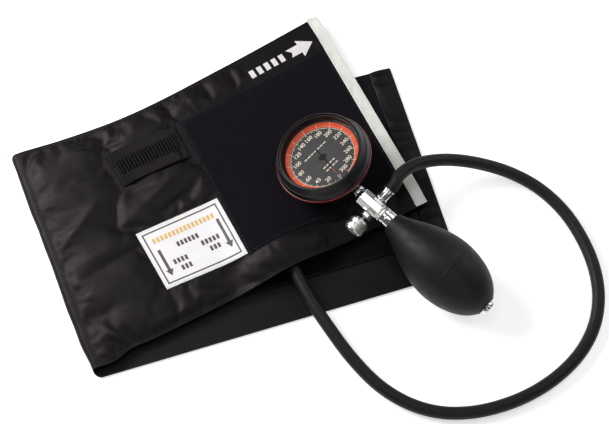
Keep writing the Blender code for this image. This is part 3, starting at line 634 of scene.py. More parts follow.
# Creases in the free part of the upper cloth: from, to, half width and height, in millimetres.
CREASES = [
    ((40.0, 24.0), (11.0, 5.0), 3.4, 2.2),
    ((13.0, 7.0), (2.0, -6.0), 3.2, 1.9),
    ((51.0, 26.0), (45.0, -8.0), 3.4, -1.7),
    ((56.0, 24.0), (51.0, 2.0), 3.0, 1.3),
    ((76.0, 24.0), (54.0, 22.0), 3.0, -1.8),
    ((100.0, 26.0), (69.0, 13.0), 3.2, 2.1),
    ((69.0, 13.0), (52.0, 4.0), 3.6, 1.3),
    ((106.0, 12.0), (70.0, 1.5), 2.8, -1.7),
    ((108.0, 5.0), (78.0, -1.0), 2.4, 1.4),
    ((70.0, 59.5), (50.0, 60.0), 3.0, -1.8),
    ((98.0, 60.0), (93.0, 78.0), 3.2, 2.0),
    ((105.0, 62.0), (101.0, 79.0), 3.0, -1.4),
    ((54.0, 57.0), (24.0, 68.0), 4.0, 1.5),
    ((2.0, 56.0), (16.0, 71.0), 3.2, 1.6),
    ((17.0, 12.5), (33.0, 5.5), 2.6, 1.2),
    ((33.0, 32.0), (14.0, 38.0), 5.0, 0.9),
    ((12.0, -22.0), (54.0, -14.0), 4.0, -1.3),
    ((16.0, -12.0), (40.0, -8.0), 3.4, 0.9),
    ((4.0, -50.0), (38.0, -44.0), 7.0, -1.8),
    ((38.0, -44.0), (66.0, -58.0), 6.5, -1.4),
    ((8.0, -34.0), (40.0, -33.0), 6.0, 1.0),
    ((14.0, -52.0), (27.0, -72.0), 3.2, 2.4),
    ((26.0, -58.0), (29.5, -75.0), 2.2, -1.9),
    ((31.0, -67.0), (98.0, -60.5), 3.4, 1.5),
    ((60.0, -55.0), (112.0, -52.0), 3.6, -1.0),
    ((151.0, 66.0), (151.5, 84.0), 2.4, -1.9),
    ((157.0, 64.0), (156.0, 82.0), 2.8, 1.4),
    ((122.0, 63.0), (117.0, 80.0), 3.2, 1.5),
    ((134.0, 64.0), (131.0, 82.0), 3.0, -1.0),
    ((76.0, 62.0), (84.0, 76.0), 3.4, 1.4),
    ((60.0, 64.0), (64.0, 74.0), 3.2, 1.0),
    ((128.0, -50.0), (125.0, -64.0), 3.4, 1.2),
    ((158.0, -44.0), (192.0, -49.0), 3.0, 1.6),
]
WAVE_HEIGHT = 0.35  # of the upper cloth's broad unevenness
SIDE_DROP = 1.7  # how far the upper half sinks at its sides
END_DROP = 0.7
LOWER_WAVE = 0.16
LOWER_EDGE_DROP = 0.30
FOLD_BULGE = 0.5
FOLD_TUCK = 1.6  # how far the fold is pulled in at its near end
CREASE_DEPTH = 0.62  # how deep the creases are made, as a share of their heights above
SEAM_MARGIN = 2.4
EDGE_STITCH = 2.6
EDGE_THREAD = 0.16
UPPER_COLUMNS = 144
FOLD_COLUMNS = 14
LOWER_COLUMNS = 84
ROWS = 96

# The upper cloth's simulation, run at a larger size. A point shifts by less than the cap, in millimetres.
SIM_SCALE = 10.0
SIM_FRAMES = 24
SIM_GROWTH = 0.02
SIM_CAP = 2.4
HELD_BELOW = 0.15  # cloth freer than this may move
HELD_LIGHTLY = 0.02


def lift_at(x, y):
    """How far the upper half stands up over the hose that runs in under its near edge."""
    across = abs(x - LIFT_CENTRE_X) / LIFT_HALF_WIDTH
    if across >= 1.0:
        return 0.0
    along = 1.0 - smoothstep((y - LIFT_FULL_Y) / (LIFT_NONE_Y - LIFT_FULL_Y))
    return LIFT * along * (0.5 + 0.5 * math.cos(math.pi * across))


def creases_at(x, y):
    """The height of the listed creases at a place, each one tapering to its ends."""
    total = 0.0
    for (ax, ay), (bx, by), width, height in CREASES:
        dx, dy = bx - ax, by - ay
        share = ((x - ax) * dx + (y - ay) * dy) / (dx * dx + dy * dy)
        share = min(max(share, 0.0), 1.0)
        away = math.hypot(x - ax - share * dx, y - ay - share * dy) / width
        if away < 3.5:
            taper = 0.2 + 0.8 * math.sin(math.pi * share) ** 0.7
            total += CREASE_DEPTH * height * math.exp(-away ** 1.4) * taper
    return total


def sewn_down(x, y):
    """1 where something is sewn on the upper cloth and holds it flat, 0 where the cloth is free."""
    held = max(smoothstep(inside(LOOP_PANEL, x, y, 3.0) / 3.0), smoothstep(inside(LABEL, x, y, 4.0) / 4.0))
    for end in (0, 1):
        a, b = patch(CLIP_LOOP, end, 0), patch(CLIP_LOOP, end, 1)
        share = ((x - a.x) * (b.x - a.x) + (y - a.y) * (b.y - a.y)) / (b - a).length_squared
        spot = a.lerp(b, min(max(share, 0.0), 1.0))
        held = max(held, 1.0 - smoothstep((math.hypot(x - spot.x, y - spot.y) - 3.0) / 3.0))
    return max(held, smoothstep(inside(PRINT_ZONE, x, y, 2.0) / 4.0))


def upper_station(share, v):
    """Outer and inner points of the upper half at a share of its length and a share v across it."""
    near, far = through(UPPER_NEAR, share), through(UPPER_FAR, share)
    spot = near.lerp(far, v)
    width = (far - near).length
    side = min(v, 1.0 - v) * width
    end = (1.0 - share) * UPPER_LENGTH
    plump = smoothstep(side / 20.0) * smoothstep(end / 12.0)
    start = share * UPPER_LENGTH
    away = smoothstep(start / 30.0)
    drop = away * (SIDE_DROP * (1.0 - smoothstep(side / 16.0)) + END_DROP * (1.0 - smoothstep(end / 10.0)))
    free = (1.0 - sewn_down(spot.x, spot.y)) * smoothstep(side / 9.0) * smoothstep(end / 14.0)
    free *= smoothstep((start - 1.0) / 13.0)
    rise = lift_at(spot.x, spot.y)
    wave = WAVE_HEIGHT * ripple(spot.x, spot.y, 0.7) * free
    top = UPPER_TOP - drop + rise + creases_at(spot.x, spot.y) * free + wave
    under = top - HEM - (UPPER_TOP - UPPER_UNDER - HEM) * plump
    under = max(under, UPPER_UNDER + rise)
    return (spot.x, spot.y, top), (spot.x, spot.y, under), free


def lower_station(share, v):
    near, far = through(LOWER_NEAR, share), through(LOWER_FAR, share)
    spot = near.lerp(far, v)
    side = min(v, 1.0 - v) * (far - near).length
    end = (1.0 - share) * LOWER_LENGTH
    edge = smoothstep(min(side, end) / 7.0)
    bare = 1.0 if inside(HOOK_PANEL, spot.x, spot.y) < 0 else 0.2
    dip = LOWER_WAVE * (1.0 + ripple(spot.x, spot.y, 2.1)) * bare
    top = LOWER_TOP - LOWER_EDGE_DROP * (1.0 - edge) - dip
    return (spot.x, spot.y, LOWER_UNDER), (spot.x, spot.y, top)


def fold_station(turn, v):
    """Outer and inner points round the fold. turn runs from -90 degrees, below, to 90, above."""
    angle = math.radians(turn)
    up = (1.0 + math.sin(angle)) / 2.0
    near = Vector(LOWER_NEAR[0]).lerp(Vector(UPPER_NEAR[0]), up)
    far = Vector(LOWER_FAR[0]).lerp(Vector(UPPER_FAR[0]), up)
    spot = near.lerp(far, v)
    base_x = LOWER_FOLD_X + (FOLD_X - LOWER_FOLD_X) * up
    side = min(v, 1.0 - v) * (far - near).length
    bulge = FOLD_BULGE * ripple(0.0, spot.y * 0.8, 1.3) * smoothstep(side / 8.0)
    tuck = FOLD_TUCK * (1.0 - smoothstep((spot.y + 80.0) / 24.0))
    reach = FOLD_RADIUS + bulge - tuck
    outer = (base_x - reach * math.cos(angle), spot.y,
             FOLD_RADIUS + (FOLD_RADIUS - LOWER_UNDER * (1 - up)) * math.sin(angle))
    middle = (UPPER_UNDER + LOWER_TOP) / 2.0
    inner = Vector((base_x - INNER_FOLD_RADIUS * math.cos(angle), spot.y,
                    middle + INNER_FOLD_RADIUS * math.sin(angle)))
    plump = smoothstep(side / 14.0)
    full = (inner - Vector(outer)).length
    hem = Vector(outer).lerp(inner, HEM * 0.8 / full)
    return outer, tuple(hem.lerp(inner, plump))


def cuff_grids():
    """Grids of the outer and inner cloth over the whole folded band, and how free each outer point is."""
    outer, inner, free = [], [], []
    for j in range(ROWS + 1):
        v = j / ROWS
        row = [lower_station(1.0 - i / LOWER_COLUMNS, v) for i in range(LOWER_COLUMNS)]
        row += [fold_station(-90.0 + 180.0 * i / FOLD_COLUMNS, v) for i in range(1, FOLD_COLUMNS)]
        upper = [upper_station(i / UPPER_COLUMNS, v) for i in range(UPPER_COLUMNS + 1)]
        outer.append([station[0] for station in row] + [station[0] for station in upper])
        inner.append([station[1] for station in row] + [station[1] for station in upper])
        free.append([0.0] * len(row) + [station[2] for station in upper])
    return np.array(outer), np.array(inner), np.array(free)


def settle(grid, free):
    """The grid with its free cloth buckled, as cloth that is a little too long for what it is sewn to."""
    rows, columns = grid.shape[:2]
    mesh = bpy.data.meshes.new("settling_cloth")
    faces = [(j * columns + i, j * columns + i + 1, (j + 1) * columns + i + 1, (j + 1) * columns + i)
             for j in range(rows - 1) for i in range(columns - 1)]
    mesh.from_pydata([tuple(point * MM * SIM_SCALE) for point in grid.reshape(-1, 3)], [], faces)
    cloth = bpy.data.objects.new("settling_cloth", mesh)
    bpy.context.scene.collection.objects.link(cloth)
    held = cloth.vertex_groups.new(name="held")
    for i, share in enumerate(free.ravel()):
        held.add([i], 1.0 if share < HELD_BELOW else HELD_LIGHTLY * (1.0 - share), "REPLACE")
    modifier = cloth.modifiers.new("settle", "CLOTH")
    settings = modifier.settings
    settings.quality = 8
    settings.mass = 0.25
    settings.tension_stiffness = 30.0
    settings.compression_stiffness = 30.0
    settings.shear_stiffness = 12.0
    settings.bending_stiffness = 1.2
    settings.vertex_group_mass = "held"
    settings.pin_stiffness = 1.0
    settings.shrink_min = -SIM_GROWTH
    settings.use_pressure = True
    settings.uniform_pressure_force = 0.35
    settings.effector_weights.gravity = 0.0
    modifier.collision_settings.use_collision = False
    modifier.point_cache.frame_end = SIM_FRAMES
    scene = bpy.context.scene
    for number in range(1, SIM_FRAMES + 1):
        scene.frame_set(number)
    result = cloth.evaluated_get(bpy.context.evaluated_depsgraph_get()).to_mesh()
    points = np.array([vert.co for vert in result.vertices]).reshape(grid.shape) / MM / SIM_SCALE
    bpy.data.objects.remove(cloth)
    scene.frame_set(1)
    shift = points - grid
    size = np.linalg.norm(shift, axis=2, keepdims=True)
    shift *= SIM_CAP * np.tanh(size / SIM_CAP) / np.maximum(size, 1e-9)
    return grid + shift


def build_cuff_cloth():
    """The whole nylon envelope, folded once, with the bladder's swell in its upper half."""
    outer, inner, free = cuff_grids()
    first = LOWER_COLUMNS + FOLD_COLUMNS - 1
    outer[:, first:] = settle(outer[:, first:], free[:, first:])
    bm = sheet_mesh(outer, inner)
    cloth = add_piece("cuff_cloth", bm, CUFF, "nylon", None, smooth=80.0)
    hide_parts("upper_cover", "upper_inner_cloth", "lower_cover", "lower_inner_cloth", "fold_web")
    return cloth


def surface_of(piece):
    """A search tree of a piece's faces, in millimetres of the cuff's frame."""
    to_cuff = CUFF.inverted() @ piece.matrix_world
    verts = [to_cuff @ vert.co / MM for vert in piece.data.vertices]
    return BVHTree.FromPolygons(verts, [tuple(face.vertices) for face in piece.data.polygons])


def top_of(tree, x, y, otherwise=UPPER_TOP, ceiling=40.0):
    """The height of a surface at a place, seen from above."""
    spot = tree.ray_cast(Vector((x, y, ceiling)), Vector((0, 0, -1)))[0]
    return otherwise if spot is None else spot.z


def patch_grids(corners, columns, rows, height_at, thickness, border=0.0):
    """Grids over a four-cornered outline. height_at(x, y, u, v) is the underside; thickness may vary too."""
    top = np.zeros((rows + 1, columns + 1, 3))
    under = np.zeros_like(top)
    for j in range(rows + 1):
        for i in range(columns + 1):
            u, v = i / columns, j / rows
            spot = patch(corners, u, v)
            low = height_at(spot.x, spot.y, u, v)
            thick = thickness(spot.x, spot.y, u, v) if callable(thickness) else thickness
            if border:
                edge = max(inside(corners, spot.x, spot.y), 0.0)
                thick *= 0.45 + 0.55 * smoothstep(edge / border)
            under[j, i] = (spot.x, spot.y, low)
            top[j, i] = (spot.x, spot.y, low + thick)
    return top, under


def build_loop_panel(tree):
    """The loop panel, woven in fine ribs along the strip's direction, sewn round its edge."""
    rib_pitch, rib_samples, rib_height, backing = 1.3, 4, 0.46, 0.66
    width = (Vector(LOOP_PANEL[1]) - Vector(LOOP_PANEL[0])).length
    columns = round(width / rib_pitch) * rib_samples

    def thickness(x, y, u, v):
        across = abs(math.sin(math.pi * u * columns / rib_samples))
        edge = max(inside(LOOP_PANEL, x, y), 0.0)
        worn = 0.06 * ripple(x * 2.2, y * 2.2, 0.3)
        return backing + (rib_height * across + worn) * smoothstep((edge - 1.2) / 1.4)

    def height(x, y, u, v):
        return top_of(tree, x, y) + 0.04

    grids = patch_grids(LOOP_PANEL, columns, 46, height, thickness, 1.0)
    panel = add_piece("loop_panel_pile", sheet_mesh(*grids), CUFF, "pile", "cuff_upper", 60)
    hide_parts("loop_panel")
    return panel


def build_hook_panel():
    def thickness(x, y, u, v):
        return 0.85 + 0.08 * ripple(x * 3, y * 3, 1.1)

    def height(x, y, u, v):
        return LOWER_TOP + 0.12

    grids = patch_grids(HOOK_PANEL, 90, 74, height, thickness, 1.4)
    panel = add_piece("hook_panel_pile", sheet_mesh(*grids), CUFF, "hooks", "cuff_lower", 60)
    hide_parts("hook_panel")
    return panel


def build_hem_band():
    """The hem at the lower half's end, puckered along the seam that holds it."""
    def height(x, y, u, v):
        return LOWER_TOP + 0.06

    def thickness(x, y, u, v):
        pucker = abs(math.sin(v * 38.0 + 1.8 * math.sin(v * 19.0) + u)) * math.exp(-((u - 0.25) / 0.55) ** 2)
        swell = math.sin(math.pi * min(max(u, 0.0), 1.0)) ** 0.6
        return 0.18 + 0.35 * swell + 1.3 * pucker * swell + 0.16 * ripple(x * 2, y * 2, 0.9) * swell

    grids = patch_grids(END_HEM, 22, 180, height, thickness)
    band = add_piece("hem_band", sheet_mesh(*grids), CUFF, "nylon", "cuff_lower", 80)
    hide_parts("end_hem")
    return band


def build_index_strip(tree):
    def height(x, y, u, v):
        return top_of(tree, min(x, 233.0 - (y + 54.2) * 0.0813), min(max(y, -54.0), 96.0), 8.0) + 0.08

    def thickness(x, y, u, v):
        return 0.34 + 0.10 * ripple(x * 1.5, y * 1.5, 0.5)

    grids = patch_grids(INDEX_STRIP, 8, 120, height, thickness)
    strip = add_piece("index_strip_tape", sheet_mesh(*grids), CUFF, "tape", "cuff_upper", 60)
    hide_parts("index_strip")
    return strip


def build_label(tree):
    def height(x, y, u, v):
        loose = math.sin(math.pi * v) * smoothstep((u - 0.7) / 0.3)
        return top_of(tree, x, y) + 0.08 + 0.25 * loose * (1.0 + math.sin(v * 19.0))

    bm = sheet_mesh(*patch_grids(LABEL, 64, 50, height, 0.2))
    label = add_piece("artery_label_satin", bm, CUFF, "label", "cuff_upper", 60)
    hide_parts("artery_label")
    return label


def build_clip_loop(tree):
    """A webbing loop, sewn at both ends and open along its long sides, with ribs across its middle."""
    rib_pitch, rib_samples = 2.1, 8
    length = (Vector(CLIP_LOOP[1]) - Vector(CLIP_LOOP[0])).length
    ribs = round(length / rib_pitch)

    def height(x, y, u, v):
        arch = smoothstep(min(u, 1 - u) / 0.22)
        base = top_of(tree, x, y) * (1 - arch) + (UPPER_TOP + 0.2) * arch + 0.06
        return base + 2.1 * arch * (1.15 - 0.4 * v)

    def thickness(x, y, u, v):
        rib = abs(math.sin(math.pi * u * ribs)) ** 0.8
        middle = smoothstep((v - 0.27) / 0.04) * (1 - smoothstep((v - 0.70) / 0.04))
        ends = smoothstep((min(u, 1 - u) - 0.05) / 0.05)
        twill = 0.07 * math.sin((u * length + v * 25.0) * math.tau / 1.15)
        return 0.75 + middle * ends * (0.95 * rib - 0.35) + (1 - middle) * twill

    grids = patch_grids(CLIP_LOOP, ribs * rib_samples, 60, height, thickness, 0.7)
    loop = add_piece("clip_loop_webbing", sheet_mesh(*grids), CUFF, "webbing", "cuff_upper", 60)
    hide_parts("gauge_clip_loop")
    return loop


def build_bladder():
    """The flat rubber bag inside, with a welded rim."""
    def swell(x, y):
        edge = max(inside(BLADDER, x, y), 0.0)
        return 0.25 + 1.1 * smoothstep((edge - 4.0) / 16.0)

    columns, rows = 60, 40
    top = np.zeros((rows + 1, columns + 1, 3))
    under = np.zeros_like(top)
    for j in range(rows + 1):
        for i in range(columns + 1):
            spot = patch(BLADDER, i / columns, j / rows)
            middle = (UPPER_TOP + UPPER_UNDER) / 2 - 0.1 + lift_at(spot.x, spot.y)
            top[j, i] = (spot.x, spot.y, middle + swell(spot.x, spot.y))
            under[j, i] = (spot.x, spot.y, middle - swell(spot.x, spot.y))
    bm = sheet_mesh(top, under)
    bag = add_piece("bladder_bag", bm, CUFF, "bladder", "cuff_upper", 60)
    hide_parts("bladder")
    return bag


# ---------------------------------------------------------------- stitching and print

def stitch_shape(start, end, radius, rise):
    """One thread float: a six-sided bar that dips into the cloth at both ends."""
    along = (end - start)
    side = along.cross(Vector((0, 0, 1))).normalized() * radius
    up = Vector((0, 0, radius))
    verts, faces = [], []
    stations = ((0.0, 0.35, -0.6), (0.18, 0.9, 0.4), (0.5, 1.0, 1.0), (0.82, 0.9, 0.4), (1.0, 0.35, -0.6))
    for share, size, height in stations:
        centre = start + along * share + Vector((0, 0, rise * height))
        for k in range(6):
            turn = math.tau * k / 6
            verts.append(centre + side * math.cos(turn) * size + up * math.sin(turn) * size)
    for ring in range(len(stations) - 1):
        for k in range(6):
            a, b = ring * 6 + k, ring * 6 + (k + 1) % 6
            faces.append((a, b, b + 6, a + 6))
    faces.append(tuple(range(5, -1, -1)))
    faces.append(tuple(range((len(stations) - 1) * 6, len(stations) * 6)))
    return verts, faces


def stitches(bm, path, pitch, height_at, zigzag=0.0, radius=0.2, fill=0.78):
    """Sew along a flat path: one thread float each pitch, from side to side if zigzag is set."""
    for a, b in zip(path, path[1:]):
        a, b = Vector(a), Vector(b)
        count = max(1, round((b - a).length / pitch))
        across = Vector((a.y - b.y, b.x - a.x)).normalized() * zigzag / 2
        for k in range(count):
            first, last = a.lerp(b, k / count), a.lerp(b, (k + (1.0 if zigzag else fill)) / count)
            if zigzag:
                sign = 1 if k % 2 else -1
                first, last = first - across * sign, last + across * sign
            ends = [Vector((*spot, height_at(*spot) + radius * 0.5)) for spot in (first, last)]
            add_mesh(bm, *stitch_shape(*ends, radius, radius * 0.8))


def inset(corners, distance):
    """The outline moved in by a distance, corner by corner."""
    result = []
    for i, corner in enumerate(corners):
        here = Vector(corner)
        before = (Vector(corners[i - 1]) - here).normalized()
        after = (Vector(corners[(i + 1) % len(corners)]) - here).normalized()
        way = (before + after).normalized()
        result.append(tuple(here + way * distance / math.sin(before.angle(after) / 2)))
    return result


def closed(corners):
    return [*corners, corners[0]]


def seam(corners, u, low=0.01):
    """A straight seam across a four-cornered outline, at a share u along it."""
    return [tuple(patch(corners, u, v)) for v in (low, 1.0 - low)]


def edge_seam(edge, shares, offset):
    """A seam that follows a long edge of the cuff, offset millimetres from it."""
    return [tuple(through(edge, share) + Vector((0, offset))) for share in shares]


def build_stitching(cloth_tree, panel_tree, label_tree, loop_tree, strip_tree, hem_tree, hook_tree):
    def on(tree, otherwise):
        return lambda x, y: top_of(tree, x, y, otherwise)

    bm = bmesh.new()
    stitches(bm, closed(inset(LOOP_PANEL, 1.1)), 1.5, on(panel_tree, 10.2), 1.7, 0.17)
    for u in (0.035, 0.965):
        stitches(bm, seam(CLIP_LOOP, u, 0.04), 1.3, on(loop_tree, 10.2), 2.2, 0.2)
    near = edge_seam(UPPER_NEAR, (0.03, 0.3, 0.6, 0.98), SEAM_MARGIN)
    far = edge_seam(UPPER_FAR, [step / 10 for step in range(1, 10)], -SEAM_MARGIN)
    for edge in (near, far):
        stitches(bm, edge, EDGE_STITCH, on(cloth_tree, 8.0), 0.0, EDGE_THREAD)
    add_piece("upper_seam_stitches", bm, CUFF, "thread", "cuff_upper")

    bm = bmesh.new()
    stitches(bm, closed(inset(HOOK_PANEL, 1.2)), 1.6, on(hook_tree, 2.9), 1.8, 0.17)
    for u, radius in ((0.08, 0.2), (0.86, 0.16)):
        stitches(bm, seam(END_HEM, u), 2.3, on(hem_tree, 2.6), 0.0, radius)
    for edge, margin in ((LOWER_NEAR, SEAM_MARGIN), (LOWER_FAR, -SEAM_MARGIN)):
        path = edge_seam(edge, (0.03, 0.93), margin)
        stitches(bm, path, EDGE_STITCH, on(cloth_tree, 1.8), 0.0, EDGE_THREAD)
    add_piece("lower_seam_stitches", bm, CUFF, "thread", "cuff_lower")

    bm = bmesh.new()
    for u in (0.13, 0.87):
        stitches(bm, seam(INDEX_STRIP, u), 2.4, on(strip_tree, 8.4), 0.0, 0.15)
    for ends in (((0, 0), (0, 1)), ((1, 0), (1, 1)), ((0, 1), (1, 1)), ((0, 0), (1, 0))):
        side = [tuple(patch(inset(LABEL, 0.8), *end)) for end in ends]
        stitches(bm, side, 2.2, on(label_tree, 9.7), 0.0, 0.11)
    add_piece("pale_stitches", bm, CUFF, "pale_thread", "cuff_upper")


def laid_mark(bm, corners, height_at, raise_by=0.05, cell=2.0):
    """A printed patch that follows the surface under it, between four corners, divided into small cells."""
    a, b, c, d = (Vector(corner) for corner in corners)
    columns = max(1, round(max((b - a).length, (c - d).length) / cell))
    rows = max(1, round(max((d - a).length, (c - b).length) / cell))
    grids = []
    for extra in (raise_by, -0.06):
        grid = np.zeros((rows + 1, columns + 1, 3))
        for j in range(rows + 1):
            for i in range(columns + 1):
                spot = a.lerp(b, i / columns).lerp(d.lerp(c, i / columns), j / rows)
                grid[j, i] = (spot.x, spot.y, height_at(spot.x, spot.y) + extra)
        grids.append(grid)
    part = sheet_mesh(*grids)
    mesh = bpy.data.meshes.new("mark")
    part.to_mesh(mesh)
    part.free()
    bm.from_mesh(mesh)
    bpy.data.meshes.remove(mesh)


def label_spot(u, v):
    return tuple(patch(LABEL, u, v))


def label_bar(bm, u0, u1, v0, v1, height_at):
    laid_mark(bm, [label_spot(u0, v0), label_spot(u1, v0), label_spot(u1, v1), label_spot(u0, v1)], height_at)


def label_blocks(bm, u, v, count, step, tall, height_at):
    """A row of plain blocks that stands in for a word."""
    for k in range(count):
        start = u + k * step
        label_bar(bm, start, start + 0.66 * step, v, v + tall, height_at)


def build_label_print(tree):
    """A border, two arrows and rows of plain blocks where the words would be."""
    def height_at(x, y):
        return top_of(tree, x, y, 9.8)

    bm = bmesh.new()
    left, right, low, high, line = 0.045, 0.955, 0.06, 0.94, 0.017
    tall = line * 1.3
    label_bar(bm, left, right, low, low + tall, height_at)
    label_bar(bm, left, right, high - tall, high, height_at)
    label_bar(bm, left, left + line, low + tall, high - tall, height_at)
    label_bar(bm, right - line, right, low + tall, high - tall, height_at)
    for u, top, bottom in ((0.135, 0.62, 0.17), (0.885, 0.70, 0.20)):
        label_bar(bm, u - 0.017, u + 0.017, bottom + 0.10, top, height_at)
        head = [label_spot(u - 0.045, bottom + 0.10), label_spot(u + 0.045, bottom + 0.10),
                label_spot(u + 0.002, bottom), label_spot(u - 0.002, bottom)]
        laid_mark(bm, head[2:] + head[:2], height_at)
    for u, v, count in ((0.35, 0.55, 6), (0.22, 0.31, 4), (0.27, 0.18, 3), (0.60, 0.41, 5), (0.66, 0.28, 3)):
        label_blocks(bm, u, v, count, 0.046, 0.080, height_at)
    add_piece("label_marks", bm, CUFF, "dark_print", "cuff_upper")
    bm = bmesh.new()
    label_blocks(bm, 0.125, 0.735, 16, 0.0475, 0.085, height_at)
    add_piece("label_heading_blocks", bm, CUFF, "amber_print", "cuff_upper")


def build_index_print(tree):
    """A white arrow that points at the strip, and a row of plain dashes that leads to it."""
    def height_at(x, y):
        return top_of(tree, x, y)

    tail, tip = Vector((190.0, 76.0)), Vector((209.9, 79.2))
    way = (tip - tail).normalized()
    side = Vector((-way.y, way.x))

    def spot(along, across):
        return tuple(tail + way * along + side * across)

    bm = bmesh.new()
    laid_mark(bm, [spot(3.0, -3.4), spot(10.6, -3.4), spot(10.6, 0.0), spot(4.6, 0.0)], height_at, cell=1.5)
    laid_mark(bm, [spot(4.6, 0.0), spot(10.6, 0.0), spot(10.6, 3.4), spot(1.4, 3.4)], height_at, cell=1.5)
    laid_mark(bm, [spot(10.6, -6.9), spot(20.2, -0.2), spot(20.2, 0.2), spot(10.6, 6.9)], height_at, cell=1.5)
    for step in range(5):
        start = -27.5 + step * 5.6
        laid_mark(bm, [spot(start, -2.9), spot(start + 3.4, -2.9), spot(start + 3.4, 2.9), spot(start, 2.9)],
                  height_at, cell=1.5)
    add_piece("index_marks", bm, CUFF, "white_print", "cuff_upper")


# ---------------------------------------------------------------- gauge

def build_gauge_case():
    bezel = turned(rounded([
        (25.15, -0.75, 0.25), (26.0, -0.75, 0.25), (26.0, -FLARE_DEPTH, 0.0),
        (DIAL_RADIUS + 0.4, -FLARE_DEPTH, 0.0),
        (DIAL_RADIUS + 0.4, -5.7, 0.15), (24.9, -5.7, 0.15)]), 120)
    piece = add_piece("gauge_bezel_ring", bezel, GAUGE, "case", "cuff_upper")
    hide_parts("gauge_bezel")
    bumper = turned(rounded([
        (26.25, -FLARE_DEPTH, 0.0), (26.25, 0.0, 0.45), (27.1, 0.0, 0.55), (28.9, -5.2, 0.0),
        (29.15, -5.5, 0.3), (29.35, -5.5, 0.3), (30.4, -8.6, 0.5), (30.4, -FLARE_DEPTH, 0.25)]), 120)
    piece = add_piece("gauge_bumper", bumper, GAUGE, "bumper", "cuff_upper")
    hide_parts("rubber_bumper")
    ring = turned(rounded([
        (26.3, -10.9, 0.0), (26.3, -9.5, 0.0), (30.9, -9.5, 0.45), (30.9, -10.9, 0.45)]), 120)
    piece = add_piece("red_trim_ring", ring, GAUGE, "red", "cuff_upper")
    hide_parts("red_ring")
    back = turned(rounded([
        (22.5, -9.5, 0.0), (26.0, -9.5, 0.3), (26.0, -11.2, 0.0), (30.0, -11.2, 0.5), (29.6, -13.9, 1.0),
        (27.2, -20.5, 3.0), (24.4, -23.4, 1.6), (21.4, -CASE_DEPTH, 1.0), (18.4, -CASE_DEPTH, 0.3),
        (18.0, -23.6, 0.3), (9.0, -23.6, 0.3), (8.6, -CASE_DEPTH, 0.3), (0.0, -CASE_DEPTH, 0.0),
        (0.0, -22.6, 0.0), (21.0, -22.4, 0.5),
        (23.6, -21.0, 1.0), (25.4, -14.0, 1.0), (22.5, -11.4, 0.5)]), 120)
    piece = add_piece("gauge_back_shell", back, GAUGE, "case", "cuff_upper")
    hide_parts("gauge_back_case")


def polar(radius, degrees, height=0.0):
    angle = math.radians(degrees)
    return Vector((radius * math.cos(angle), radius * math.sin(angle), height))


def scale_angle(value):
    return -90.0 - ZERO_ANGLE - DEGREES_PER_UNIT * value


def radial_mark(bm, degrees, inner, outer, width, low_inner, low_outer, thick=0.06):
    """A thin bar along a radius, from one radius and height to another."""
    side = polar(width / 2, degrees + 90)
    a, b = polar(inner, degrees, low_inner), polar(outer, degrees, low_outer)
    add_mesh(bm, *box_shape(a - side, b - side, b + side, a + side, (0, 0, thick)))


def numeral(bm, text, size, centre, height):
    """A printed number, set upright on the dial."""
    data = bpy.data.curves.new("numeral", "FONT")
    data.body = text
    data.size = size
    data.align_x = "CENTER"
    data.align_y = "CENTER"
    data.extrude = 0.03
    data.offset = 0.045
    shape = bpy.data.objects.new("numeral", data)
    mesh = bpy.data.meshes.new_from_object(shape)
    mesh.transform(Matrix.Translation((centre.x, centre.y, height)))
    bm.from_mesh(mesh)
    bpy.data.meshes.remove(mesh)
    bpy.data.objects.remove(shape)


